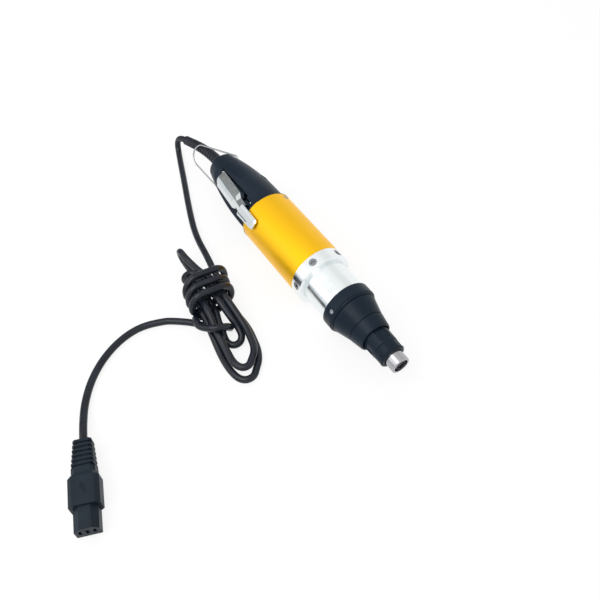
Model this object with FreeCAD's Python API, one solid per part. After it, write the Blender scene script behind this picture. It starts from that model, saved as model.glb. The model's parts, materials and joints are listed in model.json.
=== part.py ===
import FreeCAD, Part
import math
import os

# An in-line electric screwdriver lying on its side, with its coiled lead and connector beside it
# Sizes are millimetres; the tool's axis runs along X with the nose towards +X, and +Z is up
# Stations count along the axis from the rear rim of the motor tube

# Clearances shared by all pieces
seat_gap = 0.05
running_gap = 0.05
free_gap = 0.3

# Motor tube and the two screws that hold the rear cover in it
tube_radius = 20.0
tube_wall = 1.8
tube_length = 62.0
tube_screw_station = 4.2
tube_screw_angle = -42.0
tube_screw_count = 2
tube_screw_head_radius = 2.0
tube_screw_head_depth = 1.1
tube_screw_radius = 1.0

# Rear cover, split in two halves along a plane through the axis
cover_spigot = 10.0
cover_length = 68.0
cover_wall = 2.0
cover_mid_share = 0.515
cover_mid_drop = 1.4
cover_shoulder_length = 4.0
cover_shoulder_rise = 3.8
cover_rear_margin = 1.2
cover_corner_bulge = 1.1
parting_tilt = 13.0
parting_gap = 0.06
boss_inset = 11.0
boss_offset = 7.2
boss_radius = 2.3
cover_screw_radius = 1.0
cover_screw_head_radius = 1.8
cover_screw_head_length = 1.6
cover_screw_seat = 6.0
cover_screw_reach = 5.5

# Start lever on a flat of the rear cover, with its pin, spring and switch
lever_angle = 57.0
flat_drop = 6.8
flat_front = -3.6
pocket_depth = 3.8
pocket_gap = 0.5
pocket_margin = 1.4
lever_inset = 21.0
lever_pad_front = -18.0
lever_neck = -14.0
lever_wall_front = -5.4
lever_tip = 12.6
lever_tip_bevel = 1.4
lever_rear_bevel = 1.6
lever_pad_half_width = 6.6
lever_arm_half_width = 4.7
lever_tip_half_width = 4.1
lever_crown_half_width = 1.5
lever_skirt_sink = 0.8
lever_arm_lift = 0.7
lever_arm_thickness = 1.9
lever_neck_drop = 1.6
lever_pad_drop = 2.3
lever_rear_drop = 5.8
lever_slope_drop = 2.9
lever_wall = 1.2
lever_groove_length = 10.0
lever_groove_width = 0.9
lever_groove_depth = 0.45
lever_groove_inset = 2.2
lever_pin_station = -9.0
lever_pin_sink = 1.4
lever_pin_radius = 1.2
lever_pin_half_length = 7.2
lever_ear_radius = 2.2
lever_post_station = -22.0
lever_post_radius = 1.5
lever_spring_inset = 11.0
lever_spring_radius = 2.4
lever_spring_wire = 0.3
lever_spring_turns = 4
plunger_rise = 1.0
plunger_radius = 1.0
plunger_depth = 5.0
plunger_hole_gap = 0.25
micro_switch_length = 14.0
micro_switch_width = 6.4
micro_switch_height = 6.0

# Direction switch with its ribbed sliding button
direction_angle = -53.0
direction_station = -21.0
direction_slot_length = 15.4
direction_slot_width = 5.2
direction_slot_depth = 6.0
direction_button_length = 11.0
direction_button_width = 4.8
direction_button_rise = 1.2
direction_rib_count = 5
direction_rib_depth = 0.5
direction_body_length = 17.0
direction_body_width = 8.6
direction_body_height = 6.4
direction_body_sink = 4.15

# Hanger bail, a wire loop that swings about a line across the start lever
bail_inset = 15.0
bail_wire = 0.6
bail_half_width = 15.9
bail_length = 41.0
bail_end_radius = 8.2
bail_sway = 5.2
bail_tilt = 9.4
bail_corner = 2.4
bail_foot = 3.6
bail_hole_gap = 0.15

# Strain relief at the tail
relief_wall = 2.0
relief_taper = 0.75
relief_groove = 0.5
relief_rib_count = 11
relief_rib_share = 0.6
relief_edge_share = 0.12
relief_step = 0.3
relief_base = 3.0
relief_flange_rim = 1.3
relief_flange = 2.0
relief_arc_length = 34.0
relief_arc_radius = 115.0
relief_straight = 10.0
relief_lip = 6.0
relief_lean = 64.0

# Motor
can_wall = 1.2
can_margin = 1.5
can_gap = 0.3
motor_gap = 0.5
magnet_thickness = 4.05
magnet_margin = 4.0
magnet_span = 140.0
magnet_count = 2
end_cap_margin = 2.4
end_cap_depth = 9.0
end_cap_plate = 3.0
end_cap_rim = 1.6
bush_wall = 2.0
rear_bush_length = 4.0
front_plate_thickness = 4.0
shaft_radius = 2.0
shaft_inset = 8.3
shaft_reach = 2.1
pinion_step = 0.5
air_gap = 0.6
core_margin = 6.0
core_slot_count = 7
core_slot_share = 0.256
core_slot_depth = 3.4
core_slot_opening = 1.2
winding_clearance = 2.2
winding_rim = 1.1
winding_overhang = 3.2
winding_gap = 0.1
commutator_radius = 5.0
commutator_inset = 2.9
commutator_length = 4.0
commutator_segments = 7
commutator_groove = 0.5
brush_width = 3.0
brush_height = 3.6
brush_room = 2.55
brush_count = 2
holder_wall = 1.2

# Planetary gear stage
sun_teeth = 12
planet_teeth = 15
planet_count = 3
pressure_angle = 20.0
tooth_tip_share = 0.9
ring_tip_share = 0.7
tooth_root_share = 1.25
tooth_backlash = 0.1
flank_points = 5
gear_stage_gap = 2.0
planet_length = 9.0
planet_pin_radius = 1.25
carrier_clearance = 1.28
carrier_thickness = 2.4
ring_gear_rim = 1.3

# Front ring, gear housing and clutch
ring_proud = 0.2
ring_length = 9.4
ring_bevel = 0.9
ring_screw_count = 6
ring_screw_angle = 20.0
ring_screw_head_radius = 2.7
ring_screw_head_depth = 1.7
ring_screw_radius = 1.4
ring_screw_recess = 0.9
ring_screw_recess_width = 0.8
ring_screw_recess_length = 3.0
housing_step = 3.4
housing_wall = 1.9
housing_spigot = 10.0
housing_length = 42.0
partition_thickness = 3.2
clutch_ball_radius = 2.05
clutch_ball_inset = 3.7
clutch_ball_count = 6
clutch_wall = 3.0
neck_reach = 7.8
spindle_bush_length = 7.0
spindle_bush_wall = 0.85
thrust_plate_thickness = 2.5

# Nose cone
cone_overlap = 10.0
cone_rim_wall = 1.2
cone_rim_length = 7.9
cone_rim_bevel = 0.5
cone_step = 0.8
cone_step_length = 0.4
cone_taper_length = 14.2
cone_taper_rise = 1.6
cone_groove = 0.45
cone_groove_length = 0.8
cone_collar_wall = 1.3
cone_length = 32.1
cone_lip = 0.5
cone_shoulder_step = 2.6
cone_shoulder_length = 4.0
set_screw_inset = 5.6
set_screw_count = 3
set_screw_angle = 60.0
set_screw_radius = 1.5
set_screw_length = 2.4
set_screw_sink = 0.15
set_screw_socket = 0.75

# Torque adjusting nut, its washer and the torque spring
nut_inset = 12.9
nut_thread_length = 7.6
nut_thread_wall = 3.3
nut_length = 30.3
nut_rear_wall = 2.7
nut_front_wall = 2.2
nut_front_bevel = 0.8
nut_flute_count = 6
nut_flute_radius = 1.8
nut_flute_length = 16.0
nut_flute_inset = 3.5
nut_flute_depth = 0.8
washer_thickness = 1.2
washer_gap = 0.1
torque_spring_clearance = 1.7
torque_spring_wire = 0.9
torque_spring_turns = 7

# Spindle, bit sleeve and the balls that hold a bit
bit_radius = 2.5
bit_bore_gap = 0.05
bit_bore_depth = 25.5
spindle_wall = 1.4
spindle_proud = 4.0
spindle_collar_inset = 6.0
spindle_collar_length = 2.4
spindle_collar_gap = 0.15
sleeve_wall = 1.4
sleeve_room = 1.0
sleeve_proud = 3.5
sleeve_length = 21.2
sleeve_gap = 0.35
sleeve_land_inset = 12.0
sleeve_land_length = 4.2
sleeve_bevel = 0.4
sleeve_stroke = 3.0
ball_inset = 2.5
ball_count = 2
ball_rise = 0.2
ball_play = 0.02
ball_hole_gap = 0.06
circlip_thickness = 0.8
circlip_groove = 0.45
circlip_proud = 0.75
circlip_opening = 3.0
sleeve_spring_wire = 0.28
sleeve_spring_turns = 6

# Cord and its hank: places of the hank count in spacings of the cord's strands
cord_radius = 2.4
strand_gap = 1.0
hank_x = 28.0
hank_y = -66.0
hank_heading = -6.0
waist_rear_share = -1.38
waist_front_share = 4.65
waist_low_spread_share = 1.05
waist_high_spread_share = 1.03
strand_row_share = 0.5
strand_drop_share = 0.14
outer_loop_side_shares = (6.38, 2.0, 0.33)
outer_loop_wide_shares = (8.45, 2.466, 0.0)
outer_loop_end_share = 11.72
inner_loop_side_shares = (6.38, 1.33, 1.4)
inner_loop_wide_shares = (8.28, 1.76, 0.724)
inner_loop_end_shares = (10.79, 0.586)
small_loop_down_shares = (5.69, 0.41, 1.17)
small_loop_wide_shares = (6.98, 1.01, 0.13)
small_loop_end_share = 8.14
small_loop_up_shares = (5.6, -0.48, 0.29)
long_fold_low_shares = (-4.83, -1.31, 0.55)
long_fold_end_shares = (-8.2, -0.59, 0.9)
long_fold_high_shares = (-4.83, 0.345, 1.9)
short_fold_low_shares = (-3.36, -1.586, 2.07)
short_fold_end_shares = (-4.83, -0.76, 2.41)
short_fold_high_shares = (-3.36, 0.07, 2.79)
middle_rear_share = -1.12
middle_front_share = 4.13
middle_end_share = -0.18
middle_top_spread_share = 0.02
middle_low_spread_share = -0.07
hank_entry_shares = (-4.14, 1.466, 1.0)
wrap_half_width_share = 2.414
wrap_half_height_share = 1.707
wrap_left_shares = (-2.5, 0.17, 2.155, 3.55)
wrap_top_shares = (-1.64, 0.43, 2.276, 3.88)
wrap_right_shares = (-0.776, 0.776, 2.155, 3.966)
wrap_low_shares = (-0.26, 1.466, 2.845, 4.24)
wrap_entry_shares = (-2.48, -0.69)
hank_exit_shares = (3.36, -3.28)

# Free stretches of the cord, as places on the floor and lifts of the cord above it
lead_straight = 7.1
lead_route = (
    (-121.3, -10.7, 7.2),
    (-117.9, -12.5, 0.7),
    (-105.8, -17.2, 0),
    (-85.5, -24.8, 0),
    (-54.0, -37.0, 0),
    (-27.0, -46.2, 1.8),
)
tail_route = (
    (28.0, -101.0, 0),
    (23.6, -115.0, 0),
    (25.4, -130.0, 0),
    (32.5, -145.5, 0),
    (43.5, -158.8, 0),
    (57.0, -168.6, 0.8),
    (69.9, -174.2, 3.6),
)
arc_share = 0.45

# Connector at the end of the cord
plug_x = 82.9
plug_y = -179.1
plug_heading = -20.5
plug_rest = 0.2
plug_boot_length = 17.3
plug_boot_wall = 2.85
plug_boot_bevel = 1.4
plug_boot_groove = 0.9
plug_boot_taper = 1.25
plug_boot_ribs = 6
plug_boot_rib_share = 0.55
plug_body_length = 22.5
plug_body_width = 17.3
plug_body_height = 14.4
plug_body_bevel = 2.4
plug_neck_width = 13.4
plug_neck_length = 3.4
plug_shoulder_length = 2.6
plug_ridge_count = 3
plug_ridge_length = 5.0
plug_ridge_width = 0.5
plug_ridge_depth = 0.3
plug_ridge_spacing = 1.5
plug_ridge_inset = 8.0
plug_ridge_turn = 40.0
plug_insert_length = 13.0
plug_insert_width = 13.6
plug_insert_height = 11.4
plug_insert_bevel = 3.6
plug_insert_seat = 3.0
contact_count = 3
contact_spacing = 3.9
contact_width = 1.6
contact_height = 4.4
contact_depth = 9.0
contact_recess = 3.0
contact_lining = 0.3

# Rear cover: sizes and stations that follow from the ones above
tube_inner_radius = tube_radius - tube_wall
cover_front_radius = tube_inner_radius - seat_gap
relief_radius = cord_radius + relief_wall
relief_end_radius = relief_radius - relief_taper
relief_base_radius = relief_radius + relief_step
relief_flange_radius = relief_base_radius + relief_flange_rim
cover_mid_station = cover_mid_share * cover_length
cover_mid_radius = cover_front_radius - cover_mid_drop
cover_rear_radius = relief_flange_radius + cover_rear_margin
cover_shoulder_station = cover_length - cover_shoulder_length
cover_shoulder_radius = cover_rear_radius + cover_shoulder_rise
boss_station = boss_inset - cover_length
flat_height = tube_radius - flat_drop
pocket_floor = flat_height - pocket_depth
lever_rear = lever_inset - cover_length
lever_skirt = flat_height - lever_skirt_sink
lever_arm_floor = tube_radius + lever_arm_lift
lever_arm_top = lever_arm_floor + lever_arm_thickness
lever_neck_top = lever_arm_top - lever_neck_drop
lever_pad_top = lever_arm_top - lever_pad_drop
lever_rear_top = lever_arm_top - lever_rear_drop
lever_pin_height = flat_height - lever_pin_sink
lever_spring_station = lever_rear + lever_spring_inset
pocket_rear = lever_rear - pocket_margin
pocket_step = lever_neck + pocket_gap
plunger_top = pocket_floor + plunger_rise
direction_body_top = cover_front_radius - direction_body_sink
bail_station = bail_inset - cover_length
bail_rear = bail_station - bail_length
relief_turn = relief_arc_length / relief_arc_radius
relief_reach = relief_arc_radius * math.sin(relief_turn) + relief_straight * math.cos(relief_turn)
relief_rear = -cover_length - relief_reach - relief_end_radius * math.sin(relief_turn)

# Motor: sizes and stations that follow from the ones above
can_rear = cover_spigot + can_margin
plate_front = tube_length - housing_spigot - motor_gap
can_front = plate_front - front_plate_thickness
can_length = can_front - can_rear
magnet_outer_radius = tube_inner_radius - can_gap - can_wall - seat_gap
magnet_inner_radius = magnet_outer_radius - magnet_thickness
magnet_length = can_length - 2 * magnet_margin
end_cap_radius = tube_inner_radius - end_cap_margin
bush_outer_radius = shaft_radius + bush_wall
shaft_rear = can_rear - shaft_inset
shaft_front = plate_front + shaft_reach
pinion_seat_radius = shaft_radius - pinion_step
core_radius = magnet_inner_radius - air_gap
core_length = can_length - 2 * core_margin
core_slot_orbit = core_radius - core_slot_depth
core_slot_radius = core_slot_share * core_slot_orbit
winding_inner_radius = shaft_radius + winding_clearance
winding_outer_radius = core_radius - winding_rim
commutator_rear = can_rear - commutator_inset
brush_length = end_cap_radius - end_cap_rim - commutator_radius - running_gap - brush_room

# Front half: sizes and stations that follow from the ones above
ring_radius = tube_radius + ring_proud
ring_rear = tube_length
ring_front = ring_rear + ring_length
axis_height = ring_radius
housing_radius = tube_radius - housing_step
housing_bore = housing_radius - housing_wall
housing_front = tube_length + housing_length
ring_teeth = sun_teeth + planet_teeth + planet_teeth
gear_module = (housing_bore - seat_gap - ring_gear_rim) / (ring_teeth / 2 + tooth_root_share)
sun_pitch_radius = gear_module * sun_teeth / 2
planet_pitch_radius = gear_module * planet_teeth / 2
ring_pitch_radius = gear_module * ring_teeth / 2
planet_orbit = sun_pitch_radius + planet_pitch_radius
carrier_radius = ring_pitch_radius - ring_tip_share * gear_module - carrier_clearance
gear_rear = plate_front + gear_stage_gap + gear_stage_gap
planet_rear = gear_rear + gear_stage_gap
planet_front = planet_rear + planet_length
carrier_rear = planet_front + free_gap
carrier_front = carrier_rear + carrier_thickness
ring_gear_front = carrier_front + free_gap
clutch_ball_orbit = housing_bore - clutch_ball_inset
clutch_ball_station = ring_gear_front + seat_gap + clutch_ball_radius
partition_front = clutch_ball_station + clutch_ball_radius + seat_gap
partition_rear = partition_front - partition_thickness
thrust_plate_front = partition_front + seat_gap + thrust_plate_thickness
cone_rear = housing_front - cone_overlap
cone_front = cone_rear + cone_length
nut_rear = cone_front - nut_inset
nut_front = nut_rear + nut_length
neck_front = nut_rear + neck_reach
washer_front = nut_rear - seat_gap
spindle_front = nut_front + spindle_proud
sleeve_front = spindle_front + sleeve_proud
sleeve_rear = sleeve_front - sleeve_length
sleeve_land_rear = sleeve_front - sleeve_land_inset
spindle_collar_station = neck_front + spindle_collar_inset
ball_station = sleeve_land_rear + ball_inset
origin_station = (sleeve_front + relief_rear) / 2

# Radii of the nose, from the bit outwards
bit_bore_radius = bit_radius + bit_bore_gap
spindle_radius = bit_bore_radius + spindle_wall
ball_radius = (spindle_wall + ball_rise + 2 * running_gap - ball_play) / 2
sleeve_chamber_radius = spindle_radius + sleeve_room
spindle_collar_radius = sleeve_chamber_radius - spindle_collar_gap
sleeve_radius = sleeve_chamber_radius + sleeve_wall
nut_bore = sleeve_radius + sleeve_gap
neck_radius = nut_bore - free_gap
neck_bore = spindle_radius + running_gap + spindle_bush_wall + seat_gap
nut_rear_radius = nut_bore + nut_rear_wall
nut_front_radius = nut_bore + nut_front_wall
nut_thread_radius = nut_bore + nut_thread_wall
washer_radius = nut_thread_radius - washer_gap
torque_spring_radius = nut_bore + torque_spring_clearance
cone_collar_radius = nut_thread_radius + cone_collar_wall
cone_taper_radius = cone_collar_radius + cone_taper_rise
cone_rim_radius = housing_radius + cone_rim_wall
cone_shoulder_radius = housing_radius - cone_shoulder_step
set_screw_station = cone_rear + set_screw_inset

# Cord and connector: sizes that follow from the ones above
strand_pitch = 2 * cord_radius + strand_gap
plug_height = plug_body_height / 2 + plug_rest
plug_boot_radius = cord_radius + plug_boot_wall

X = FreeCAD.Vector(1, 0, 0)
Y = FreeCAD.Vector(0, 1, 0)
Z = FreeCAD.Vector(0, 0, 1)
CENTRE = FreeCAD.Vector(0, 0, 0)


def point(x, y, z):
    return FreeCAD.Vector(x, y, z)


def disc(rear, front, outer, inner=0):
    """A cylinder or tube along the axis."""
    solid = Part.makeCylinder(outer, front - rear, point(rear, 0, 0), X)
    if inner > 0:
        solid = solid.cut(Part.makeCylinder(inner, front - rear, point(rear, 0, 0), X))
    return solid


def turned(outline):
    """A solid of revolution about the axis from a closed outline of stations and radii."""
    corners = [point(x, 0, r) for x, r in outline]
    face = Part.Face(Part.makePolygon(corners + corners[:1]))
    return face.revolve(CENTRE, X, 360)


def block(x0, x1, half_width, z0, z1):
    """A box that is centred across the axis."""
    return Part.makeBox(x1 - x0, 2 * half_width, z1 - z0, point(x0, -half_width, z0))


def around(shape, angle):
    """A copy of the shape turned about the tool's axis."""
    turned_copy = shape.copy()
    turned_copy.rotate(CENTRE, X, angle)
    return turned_copy


def spread(shape, count, first):
    """Copies of the shape, evenly spaced about the axis."""
    return [around(shape, first + 360 * k / count) for k in range(count)]


def radial(station, radius, low, high):
    """A cylinder that stands on the axis, before it is turned to its angle."""
    return Part.makeCylinder(radius, high - low, point(station, 0, low), Z)


def joined(shapes):
    return shapes[0].fuse(shapes[1:]) if len(shapes) > 1 else shapes[0]


def loft(sections):
    return Part.makeLoft(sections, True, True)


def arc_end(start, heading, end):
    """Middle, radius and closing direction of the arc that leaves start along heading and meets end."""
    chord = end - start
    along = chord.dot(heading)
    across = chord - heading * along
    closing = chord * (2 * along / chord.dot(chord)) - heading
    if across.Length < chord.Length / 1e5:
        return None, None, heading
    radius = chord.dot(chord) / (2 * across.Length)
    centre = start + across * (radius / across.Length)
    outward = (start + end) / 2 - centre
    if outward.Length < radius / 1e5:
        outward = heading * 1
    outward.normalize()
    return centre + outward * radius, radius, closing


def arc_edge(start, heading, end):
    middle, radius, closing = arc_end(start, heading, end)
    if middle is None:
        return Part.makeLine(start, end), None, closing
    return Part.Arc(start, middle, end).toShape(), radius, closing


def biarc_edges(keys):
    """Smooth arcs through places with given directions."""
    edges = []
    radii = []
    for (start, heading), (end, leaving) in zip(keys, keys[1:]):
        chord = end - start
        both = chord.dot(heading + leaving)
        spread_out = 2 * (1 - heading.dot(leaving))
        if spread_out < 1e-9:
            reach = chord.dot(chord) / (4 * chord.dot(leaving))
        else:
            reach = (math.sqrt(both * both + spread_out * chord.dot(chord)) - both) / spread_out
        middle = (start + heading * reach + end - leaving * reach) / 2
        first, first_radius, closing = arc_edge(start, heading, middle)
        second, second_radius, closing = arc_edge(middle, closing, end)
        edges += [first, second]
        radii += [r for r in (first_radius, second_radius) if r]
    return edges, radii


def route_edges(points):
    """Straight runs joined by arcs that touch both runs."""
    edges = []
    radii = []
    at = points[0]
    for before, corner, after in zip(points, points[1:], points[2:]):
        arriving = corner - before
        going = after - corner
        shorter = min(arriving.Length, going.Length)
        turn = arriving.getAngle(going)
        arriving.normalize()
        going.normalize()
        if turn < math.radians(0.2):
            continue
        reach = arc_share * shorter
        start = corner - arriving * reach
        end = corner + going * reach
        edges.append(Part.makeLine(at, start))
        bend, radius, closing = arc_edge(start, arriving, end)
        edges.append(bend)
        radii.append(reach / math.tan(turn / 2))
        at = end
    edges.append(Part.makeLine(at, points[-1]))
    return edges, radii


def tube_along(edges, radius):
    wire = Part.Wire(edges)
    first = edges[0]
    start = first.valueAt(first.FirstParameter)
    heading = first.tangentAt(first.FirstParameter)
    section = Part.Wire(Part.makeCircle(radius, start, heading))
    return wire.makePipeShell([section], True, False)


def coil(rear, front, radius, wire, turns):
    """An open coil spring about the axis."""
    run = front - rear - 2 * wire
    steps = 4 * turns
    keys = []
    pitch = run / steps
    slope = math.atan2(4 * pitch, 2 * math.pi * radius)
    for k in range(steps + 1):
        angle = math.pi * k / 2
        place = point(rear + wire + pitch * k, radius * math.sin(angle), radius * math.cos(angle))
        around_way = point(0, math.cos(angle), -math.sin(angle))
        keys.append((place, X * math.sin(slope) + around_way * math.cos(slope)))
    edges, radii = biarc_edges(keys)
    return tube_along(edges, wire)


def ribbed(stations, radii, path):
    """A moulded boot through round sections along a path."""
    sections = []
    for s, r in zip(stations, radii):
        place, heading = path(s)
        sections.append(Part.Wire(Part.makeCircle(r, place, heading)))
    return loft(sections)


def rib_outline(start, end, count, rib_share, edge_share, high, low, taper=0):
    """Stations and radii of ribs with grooves between them."""
    stations = []
    radii = []
    step = (end - start) / count
    for k in range(count):
        base = start + step * k
        less = taper * k / count
        for share, r in ((0, high), (rib_share, high), (rib_share + edge_share, low), (1 - edge_share, low)):
            stations.append(base + step * share)
            radii.append(r - less)
    stations.append(end)
    radii.append(high - taper)
    return stations, radii


def tooth_outline(teeth, pitch_radius, root, tip, thickness, start):
    """Corners of a gear outline whose first tooth stands at the start angle."""
    base = pitch_radius * math.cos(math.radians(pressure_angle))

    def lean(r):
        a = math.acos(min(1, base / r))
        return math.tan(a) - a

    half = thickness / (2 * pitch_radius) + lean(pitch_radius)
    low = max(root, base)
    flank = [low + (tip - low) * k / (flank_points - 1) for k in range(flank_points)]
    profile = [(r, half - lean(r)) for r in flank]
    if root < base:
        profile.insert(0, (root, half))
    corners = []
    for k in range(teeth):
        middle = start + 2 * math.pi * k / teeth
        for r, a in profile:
            corners.append((r, middle - a))
        for r, a in reversed(profile):
            corners.append((r, middle + a))
    return [(r * math.sin(a), r * math.cos(a)) for r, a in corners]


def gear_prism(corners, rear, front):
    places = [point(rear, y, z) for y, z in corners]
    face = Part.Face(Part.makePolygon(places + places[:1]))
    return face.extrude(X * (front - rear))


# Rear cover and what it carries

def cover_outline(shrink):
    """Half section of the rear cover, moved inwards by a wall."""
    front = point(0, 0, cover_front_radius - shrink)
    middle = point(-cover_mid_station, 0, cover_mid_radius - shrink)
    shoulder = point(-cover_shoulder_station + shrink / 2, 0, cover_shoulder_radius - shrink)
    rear = point(-cover_length + shrink, 0, cover_rear_radius - shrink / 3)
    between = (shoulder + rear) / 2
    outward = (shoulder - rear).cross(Y)
    outward.normalize()
    bulge = between - outward * cover_corner_bulge
    reach = cover_spigot + shrink
    edges = [
        Part.makeLine(point(reach, 0, 0), point(reach, 0, cover_front_radius - shrink)),
        Part.makeLine(point(reach, 0, cover_front_radius - shrink), front),
        Part.Arc(front, middle, shoulder).toShape(),
        Part.Arc(shoulder, bulge, rear).toShape(),
        Part.makeLine(rear, point(-cover_length + shrink, 0, 0)),
        Part.makeLine(point(-cover_length + shrink, 0, 0), point(reach, 0, 0)),
    ]
    return Part.Face(Part.Wire(edges)).revolve(CENTRE, X, 360)


def lever_recess(wall):
    """What is cut away for the lever: the flat, the pad's pocket and the arm's pocket."""
    high = lever_arm_top + wall
    flat = block(-cover_length, flat_front + wall, tube_radius, flat_height - wall, high)
    floor = pocket_floor - wall
    pad = block(pocket_rear - wall, pocket_step + wall, lever_pad_half_width + pocket_gap + wall, floor, high)
    arm = block(pocket_step, flat_front + wall, lever_arm_half_width + pocket_gap + wall, floor, high)
    return around(flat.fuse([pad, arm]), lever_angle)


def crossways(station, height, radius, low, high):
    """A cylinder along Y at a station and height."""
    return Part.makeCylinder(radius, high - low, point(station, low, height), Y)


def rear_cover():
    """Both halves of the rear cover."""
    body = cover_outline(0).cut(lever_recess(0))
    shell = body.cut(cover_outline(cover_wall).cut(lever_recess(cover_wall)))
    bosses = []
    drills = []
    for side in (-1, 1):
        y = side * boss_offset
        boss = Part.makeCylinder(boss_radius, 2 * tube_radius, point(boss_station, y, -tube_radius), Z)
        bosses.append(around(boss, parting_tilt).common(body))
        hole = cover_screw_radius + seat_gap
        bore = cover_screw_head_radius + seat_gap
        length = cover_screw_seat + cover_screw_reach + free_gap
        drills.append(Part.makeCylinder(hole, length, point(boss_station, y, -cover_screw_seat), Z))
        drills.append(Part.makeCylinder(bore, tube_radius, point(boss_station, y, -cover_screw_seat), -Z))
    shell = shell.fuse(bosses)
    cuts = [around(d, parting_tilt) for d in drills]
    relief_front = -cover_length + cover_wall + relief_flange
    cuts.append(disc(-cover_length - relief_base, relief_front, relief_base_radius + seat_gap))
    reach = lever_pin_half_length
    pin_hole = crossways(lever_pin_station, lever_pin_height, lever_pin_radius + seat_gap, -reach, reach)
    cuts.append(around(pin_hole, lever_angle))
    plunger_hole = radial(
        lever_post_station, plunger_radius + plunger_hole_gap, pocket_floor - 2 * cover_wall, flat_height
    )
    cuts.append(around(plunger_hole, lever_angle))
    half_slot = direction_slot_length / 2
    slot = block(
        direction_station - half_slot,
        direction_station + half_slot,
        direction_slot_width / 2,
        direction_body_top,
        direction_body_top + direction_slot_depth,
    )
    cuts.append(around(slot, direction_angle))
    bail_hole = crossways(bail_station, 0, bail_wire + bail_hole_gap, -tube_radius, tube_radius)
    cuts.append(around(bail_hole, lever_angle))
    screw_hole = radial(
        tube_screw_station, tube_screw_radius + seat_gap, cover_front_radius - 2 * cover_wall, tube_radius
    )
    cuts += spread(screw_hole, tube_screw_count, tube_screw_angle)
    shell = shell.cut(cuts)
    reach = cover_length + cover_spigot + tube_radius
    upper = around(block(-reach, reach, reach, parting_gap / 2, reach), parting_tilt)
    lower = around(block(-reach, reach, reach, -reach, -parting_gap / 2), parting_tilt)
    return shell.common(upper), shell.common(lower)


def cover_screws():
    screws = []
    for side in (-1, 1):
        y = side * boss_offset
        seat = point(boss_station, y, -cover_screw_seat)
        shank = Part.makeCylinder(cover_screw_radius, cover_screw_seat + cover_screw_reach, seat, Z)
        head = Part.makeCylinder(cover_screw_head_radius, cover_screw_head_length, seat, -Z)
        screws.append(around(shank.fuse(head), parting_tilt))
    return Part.makeCompound(screws)


def lever_section(station, skirt, slope, top, half, crown):
    corners = [
        point(station, -half, skirt),
        point(station, -half, slope),
        point(station, -crown, top),
        point(station, crown, top),
        point(station, half, slope),
        point(station, half, skirt),
    ]
    return Part.makePolygon(corners + corners[:1])


def lever_body(inset):
    """The pad and neck of the lever, or the hollow under them."""
    pad = lever_pad_half_width - inset
    arm = lever_arm_half_width - inset
    crown = lever_crown_half_width - inset / 2
    skirt = lever_skirt - inset
    rear = lever_rear + inset
    stations = (
        (rear, lever_rear_top - lever_rear_bevel, pad - lever_rear_bevel / 2, crown - lever_rear_bevel / 2),
        (rear + lever_rear_bevel, lever_rear_top, pad, crown),
        (lever_pad_front, lever_pad_top, pad, crown),
        (lever_neck, lever_neck_top, arm, crown),
        (lever_wall_front - inset, lever_arm_top, arm, crown),
    )
    sections = []
    for station, top, half, wide in stations:
        high = top - inset
        slope = max(high - lever_slope_drop, skirt + lever_wall)
        sections.append(lever_section(station, skirt, slope, high, half, wide))
    return loft(sections)


def lever_groove(station, top, side):
    """A lengthwise groove with round ends, from a station forwards."""
    y = side * lever_groove_inset
    half = lever_groove_width / 2
    floor = top - lever_groove_depth
    front = station + lever_groove_length
    groove = Part.makeBox(
        lever_groove_length, lever_groove_width, lever_arm_thickness, point(station, y - half, floor)
    )
    ends = [Part.makeCylinder(half, lever_arm_thickness, point(x, y, floor), Z) for x in (station, front)]
    return groove.fuse(ends)


def start_lever():
    body = lever_body(0).cut(lever_body(lever_wall))
    slope = (lever_arm_top + lever_arm_floor) / 2
    wide = lever_arm_half_width
    tip_wide = lever_tip_half_width
    crown = lever_arm_half_width - lever_tip_bevel
    tip_crown = lever_tip_half_width - lever_tip_bevel
    tip_top = lever_arm_top - lever_tip_bevel / 4
    low = lever_arm_floor
    arm = loft([
        lever_section(lever_wall_front - lever_wall, low, slope, lever_arm_top, wide, crown),
        lever_section(lever_tip - lever_tip_bevel, low, slope, lever_arm_top, tip_wide, tip_crown),
        lever_section(lever_tip, low, slope, tip_top, tip_crown, tip_crown - lever_tip_bevel),
    ])
    ears = []
    for side in (-1, 1):
        outer = side * lever_arm_half_width
        inner = side * (lever_arm_half_width - lever_wall)
        low, high = min(outer, inner), max(outer, inner)
        ears.append(crossways(lever_pin_station, lever_pin_height, lever_ear_radius, low, high))
    roof = lever_ceiling(lever_post_station, 0) + lever_wall
    post = radial(lever_post_station, lever_post_radius, plunger_top + seat_gap, roof)
    lever = body.fuse([arm, post] + ears)
    bore = lever_pin_radius + running_gap
    hole = crossways(lever_pin_station, lever_pin_height, bore, -tube_radius, tube_radius)
    groove = lever_groove(lever_wall_front, lever_arm_top, -1)
    return around(lever.cut([hole, groove]).removeSplitter(), lever_angle)


def lever_pin():
    half = lever_pin_half_length - seat_gap
    return around(crossways(lever_pin_station, lever_pin_height, lever_pin_radius, -half, half), lever_angle)


def lever_ceiling(station, reach):
    """Height under which a round piece of a given reach fits in the hollow of the lever's pad."""
    share = (station - lever_rear) / (lever_pad_front - lever_rear)
    slope = lever_slope_drop / (lever_pad_half_width - lever_crown_half_width)
    sink = slope * max(0, reach + lever_wall - lever_crown_half_width)
    return lever_rear_top + (lever_pad_top - lever_rear_top) * share - lever_wall - lever_wall / 2 - sink


def lever_spring():
    top = lever_ceiling(lever_spring_station, lever_spring_radius + lever_spring_wire)
    spring = coil(pocket_floor + seat_gap, top, lever_spring_radius, lever_spring_wire, lever_spring_turns)
    spring.rotate(CENTRE, Y, -90)
    spring.translate(X * lever_spring_station)
    return around(spring, lever_angle)


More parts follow.
